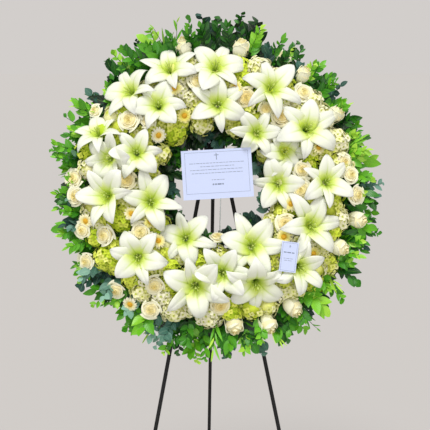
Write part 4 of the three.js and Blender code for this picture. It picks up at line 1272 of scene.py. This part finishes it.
# %% Clear moulded plastic
# Glossy and clear, with a slight haze where it cooled unevenly.
clear_plastic, tree, shader = new_finish("clear_moulded_plastic", Roughness=0.12, IOR=1.49)
shader.inputs["Transmission Weight"].default_value = 0.85
where = node(tree, "ShaderNodeTexCoord").outputs["Object"]
haze = node(tree, "ShaderNodeTexNoise", {"Vector": where, "Scale": 60.0, "Detail": 2.0})
tone = node(tree, "ShaderNodeValToRGB", {0: haze.outputs[0]}, [(0.3, "#e4ecee"), (0.7, "#f5f9fa")])
wire(tree, tone, shader)
print("tie and pick finish:", clear_plastic.name)

# %% [markdown]
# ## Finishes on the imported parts
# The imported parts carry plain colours. Their meshes stay as they are, and each gets the finish of
# its real material instead. No real edge is sharp, and a sharp one looks drawn, so a small bevel
# modifier rounds the edges by 0.2 to 0.8 mm.


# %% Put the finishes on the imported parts
def wears(finish, *names, edge=0.0):
    """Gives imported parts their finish, and a bevel of that many millimetres."""
    for name in names:
        part = cad[name]
        part.data.materials.clear()
        part.data.materials.append(finish)
        if edge:
            bevel = part.modifiers.new("worn_edge", "BEVEL")
            bevel.width, bevel.segments, bevel.limit_method = edge / 1000, 2, "ANGLE"
            bevel.angle_limit, bevel.harden_normals = math.radians(40), False
    print(finish.name, "on", ", ".join(names))


wears(powder_coat, "head_plate", edge=0.5)
wears(zinc, "hinge_bolt", "leg_bolt_left", "leg_bolt_right", edge=0.3)
wears(zinc, "support_peg_left", "support_peg_right", edge=0.3)
wears(rubber, "rubber_foot_left", "rubber_foot_right", "rubber_foot_rear", edge=0.8)
wears(tray_plastic, "foam_tray", edge=0.6)
wears(wet_foam, "foam_ring")
wears(clear_plastic, "cable_tie", "card_pick", edge=0.2)

# %% [markdown]
# ## Card and ink
# The message card is uncoated A5 card, tinted a very pale blue, and the tag is the same card.
# Uncoated paper is matt with a fine tooth of fibres, drawn at about 1 mm. The ink has soaked in, so
# it is as matt as the paper and a little uneven.

# %% Uncoated card and printed ink
pale_card, tree, shader = new_finish("uncoated_pale_card", Roughness=0.72, IOR=1.45)
where = node(tree, "ShaderNodeTexCoord").outputs["Object"]
fibre = node(tree, "ShaderNodeTexNoise", {"Vector": where, "Scale": 900.0, "Detail": 3.0})
tone = node(tree, "ShaderNodeValToRGB", {0: fibre.outputs[0]}, [(0.3, "#c1cdf0"), (0.7, "#cdd8f6")])
wire(tree, tone, shader)
bump = node(tree, "ShaderNodeBump", {"Height": fibre.outputs[0], "Distance": 0.0002, "Strength": 0.3})
wire(tree, bump, shader, "Normal")

grey_ink, tree, shader = new_finish("soaked_in_grey_ink", Roughness=0.65, IOR=1.45)
soak = node(tree, "ShaderNodeTexNoise", {"Scale": 1200.0, "Detail": 2.0})
tone = node(tree, "ShaderNodeValToRGB", {0: soak.outputs[0]}, [(0.3, "#64718a"), (0.7, "#8d98ae")])
wire(tree, tone, shader)
wears(pale_card, "message_card", "florist_tag")
print("card finishes:", pale_card.name, grey_ink.name)

# %% [markdown]
# ## Print on the card and the tag
# The card carries a thin ruled border, a plain cross and lines of message, and the tag has the same
# in small. The words say nothing here: they are plain dashes of the lengths of words. Ink has no
# thickness to see, and an image would be the usual way, but flat strips 0.15 mm in front of the
# card stay sharp and need no image.


# %% Strips, borders and rows of dashes
IN_FRONT = -0.55  # y of the print from the middle of the card, whose half thickness is 0.4 mm


def strips(x, y, z, roll, lean, rects, name):
    """Flat strips on a card's face: each is left, bottom, right and top, from the card's middle."""
    leant, rolled = Matrix.Rotation(-math.radians(lean), 3, "X"), Matrix.Rotation(-math.radians(roll), 3, "Y")
    printed = Pile()
    for left, bottom, right, top in rects:
        xs, zs = np.linspace(left, right, 4), np.linspace(bottom, top, 2)
        grid = np.stack(np.broadcast_arrays(xs[None], IN_FRONT, zs[:, None]), -1)
        printed.add(grid @ np.array(leant @ rolled).T + [x, y, z])
    return make_piece(printed, name, [grey_ink], printed=True)


def border(left, bottom, right, top, line):
    """The four strips of a ruled border."""
    return [(left, top - line, right, top), (left, bottom, right, bottom + line),
            (left, bottom + line, left + line, top - line), (right - line, bottom + line, right, top - line)]


def words(left, right, z, tall):
    """A row of plain dashes as long as words, which say nothing."""
    row, x = [], left
    while x < right - 3:
        end = min(x + rng.uniform(4, 13), right)
        row.append((x, z, end, z + tall))
        x = end + 2.2
    return row


print("strips in a border:", len(border(-1, -1, 1, 1, 0.1)))

# %% Print the card and the tag
message = border(-95, -57, 95, 67, 0.8)
message += [(-1.1, 43, 1.1, 63), (-7, 56, -1.1, 58), (1.1, 56, 7, 58)]
for left, right, z in ((-82, 82, 33), (-50, 52, 23), (-80, 78, 13), (-76, 78, 3), (-18, 22, -18)):
    message += words(left, right, z, 1.5)
message += words(-16, 17, -33, 4.5)
strips(*CARD_PLACE, message, "card_print")
note = border(-21.5, -41.5, 21.5, 41.5, 0.7)
note += [(-0.7, 26, 0.7, 35), (-3.2, 31.2, -0.7, 32.4), (0.7, 31.2, 3.2, 32.4)]
note += words(-17, 17, 11, 3.2) + words(-15, 13, -6, 1.2) + words(-13, 12, -12, 1.2)
strips(*TAG_PLACE, note, "tag_print")
print("strips on the card:", len(message), "and on the tag:", len(note))

# %% [markdown]
# ## Floor and air
# A studio sheet hides where floor meets wall. A curved sheet would block the view from behind, so
# the floor is one large pale sheet under pale grey air. Its grey and its faint glow are chosen so
# that, under the lamps, it matches the air and no horizon shows.

# %% Floor and air
mesh = bpy.data.meshes.new("studio_floor")
mesh.from_pydata([(-40, -40, 0), (40, -40, 0), (40, 40, 0), (-40, 40, 0)], [], [(0, 1, 2, 3)])
floor = bpy.data.objects.new("studio_floor", mesh)
bpy.context.scene.collection.objects.link(floor)
paint, tree, shader = new_finish("matt_floor_paint", Roughness=1.0)
shader.inputs["Specular IOR Level"].default_value = 0.0
grain = node(tree, "ShaderNodeTexNoise", {"Scale": 3.0, "Detail": 2.0})
tone = node(tree, "ShaderNodeValToRGB", {0: grain.outputs[0]}, [(0.3, "#7a7876"), (0.7, "#7c7a78")])
wire(tree, tone, shader)
shader.inputs["Emission Color"].default_value = colour("#d2cecb")
shader.inputs["Emission Strength"].default_value = 0.64
mesh.materials.append(paint)
floor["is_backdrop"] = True

air = bpy.data.worlds.new("pale_air")
air.use_nodes = True
sky = air.node_tree.nodes["Background"]
sky.inputs[0].default_value, sky.inputs[1].default_value = colour("#d2cecb"), 1.0
bpy.context.scene.world = air
print("floor and air:", floor.name, air.name)

# %% [markdown]
# ## Lamps
# Flowers are lit softly, as hard light burns white petals out. One broad lamp stands high in front
# and models the petals, and a weaker one almost level with the flowers fills their shadows. Area
# lamps would light the near petals more than the far ones, so both are suns, whose light is even
# over the whole wreath, with a wide angle that keeps the shadows soft.

# %% Lamps
# Each lamp: strength, width, lean and turn in degrees.
LAMPS = {"soft_lamp": (1.8, 20, 27, -10), "front_fill": (0.6, 40, 78, 12)}
for name, (strength, width, lean, turned) in LAMPS.items():
    lamp = bpy.data.lights.new(name, "SUN")
    lamp.energy, lamp.angle, lamp.color = strength, math.radians(width), (1.0, 0.99, 0.97)
    holder = bpy.data.objects.new(name, lamp)
    holder.rotation_euler = (math.radians(lean), math.radians(turned), 0)
    bpy.context.scene.collection.objects.link(holder)
bpy.context.scene.view_settings.view_transform = "Standard"
print("lamps:", ", ".join(LAMPS))

# %% [markdown]
# ## Camera
# The camera stands 3 m in front of the wreath, 2.5 degrees to the left and 10 degrees above the
# middle of the flowers, with a long lens, as for a catalogue. Its frame ends below the flowers and
# cuts the legs. It could be aimed with a constraint, but three axes worked out here are exact.

# %% Camera
AZIMUTH, RISE, AWAY = math.radians(-2.5), math.radians(10), 3.05
ASIDE, BELOW = 0.00594, 0.08316  # metres from the middle of the flowers to what the camera looks at
aim = np.array([0.0, -0.2985, 1.1947])
back = np.array([math.sin(AZIMUTH) * math.cos(RISE), -math.cos(AZIMUTH) * math.cos(RISE), math.sin(RISE)])
right = unit(np.cross(-back, [0, 0, 1]))
up = np.cross(right, -back)
spot = aim - right * ASIDE - up * BELOW + back * AWAY
lens = bpy.data.cameras.new("camera")
lens.sensor_width, lens.lens = 36.0, 86.0
camera = bpy.data.objects.new("camera", lens)
axes = np.stack([right, up, back], -1).tolist()
camera.matrix_world = Matrix([[*row, at] for row, at in zip(axes, spot)] + [[0, 0, 0, 1]])
bpy.context.scene.collection.objects.link(camera)
bpy.context.scene.camera = camera
print("camera at", spot.round(3))

# %% [markdown]
# ## Measure and finish
# The imported model fixes the object's size, and only soft tips may stand a little proud of it. The
# scene's box is measured against the imported one, and how far it stands proud on each axis is printed.

# %% Measure and finish
made_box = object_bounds()
for axis in range(3):
    side = cad_box[1][axis] - cad_box[0][axis]
    over = max(cad_box[0][axis] - made_box[0][axis], made_box[1][axis] - cad_box[1][axis])
    print("xyz"[axis], "stands proud by", round(over * 1000, 1), "mm of", round(side * 30 + 10, 1))
shown = [o for o in bpy.data.objects if o.type == "MESH" and not o.hide_render]
print("faces in all:", sum(len(o.data.polygons) for o in shown))
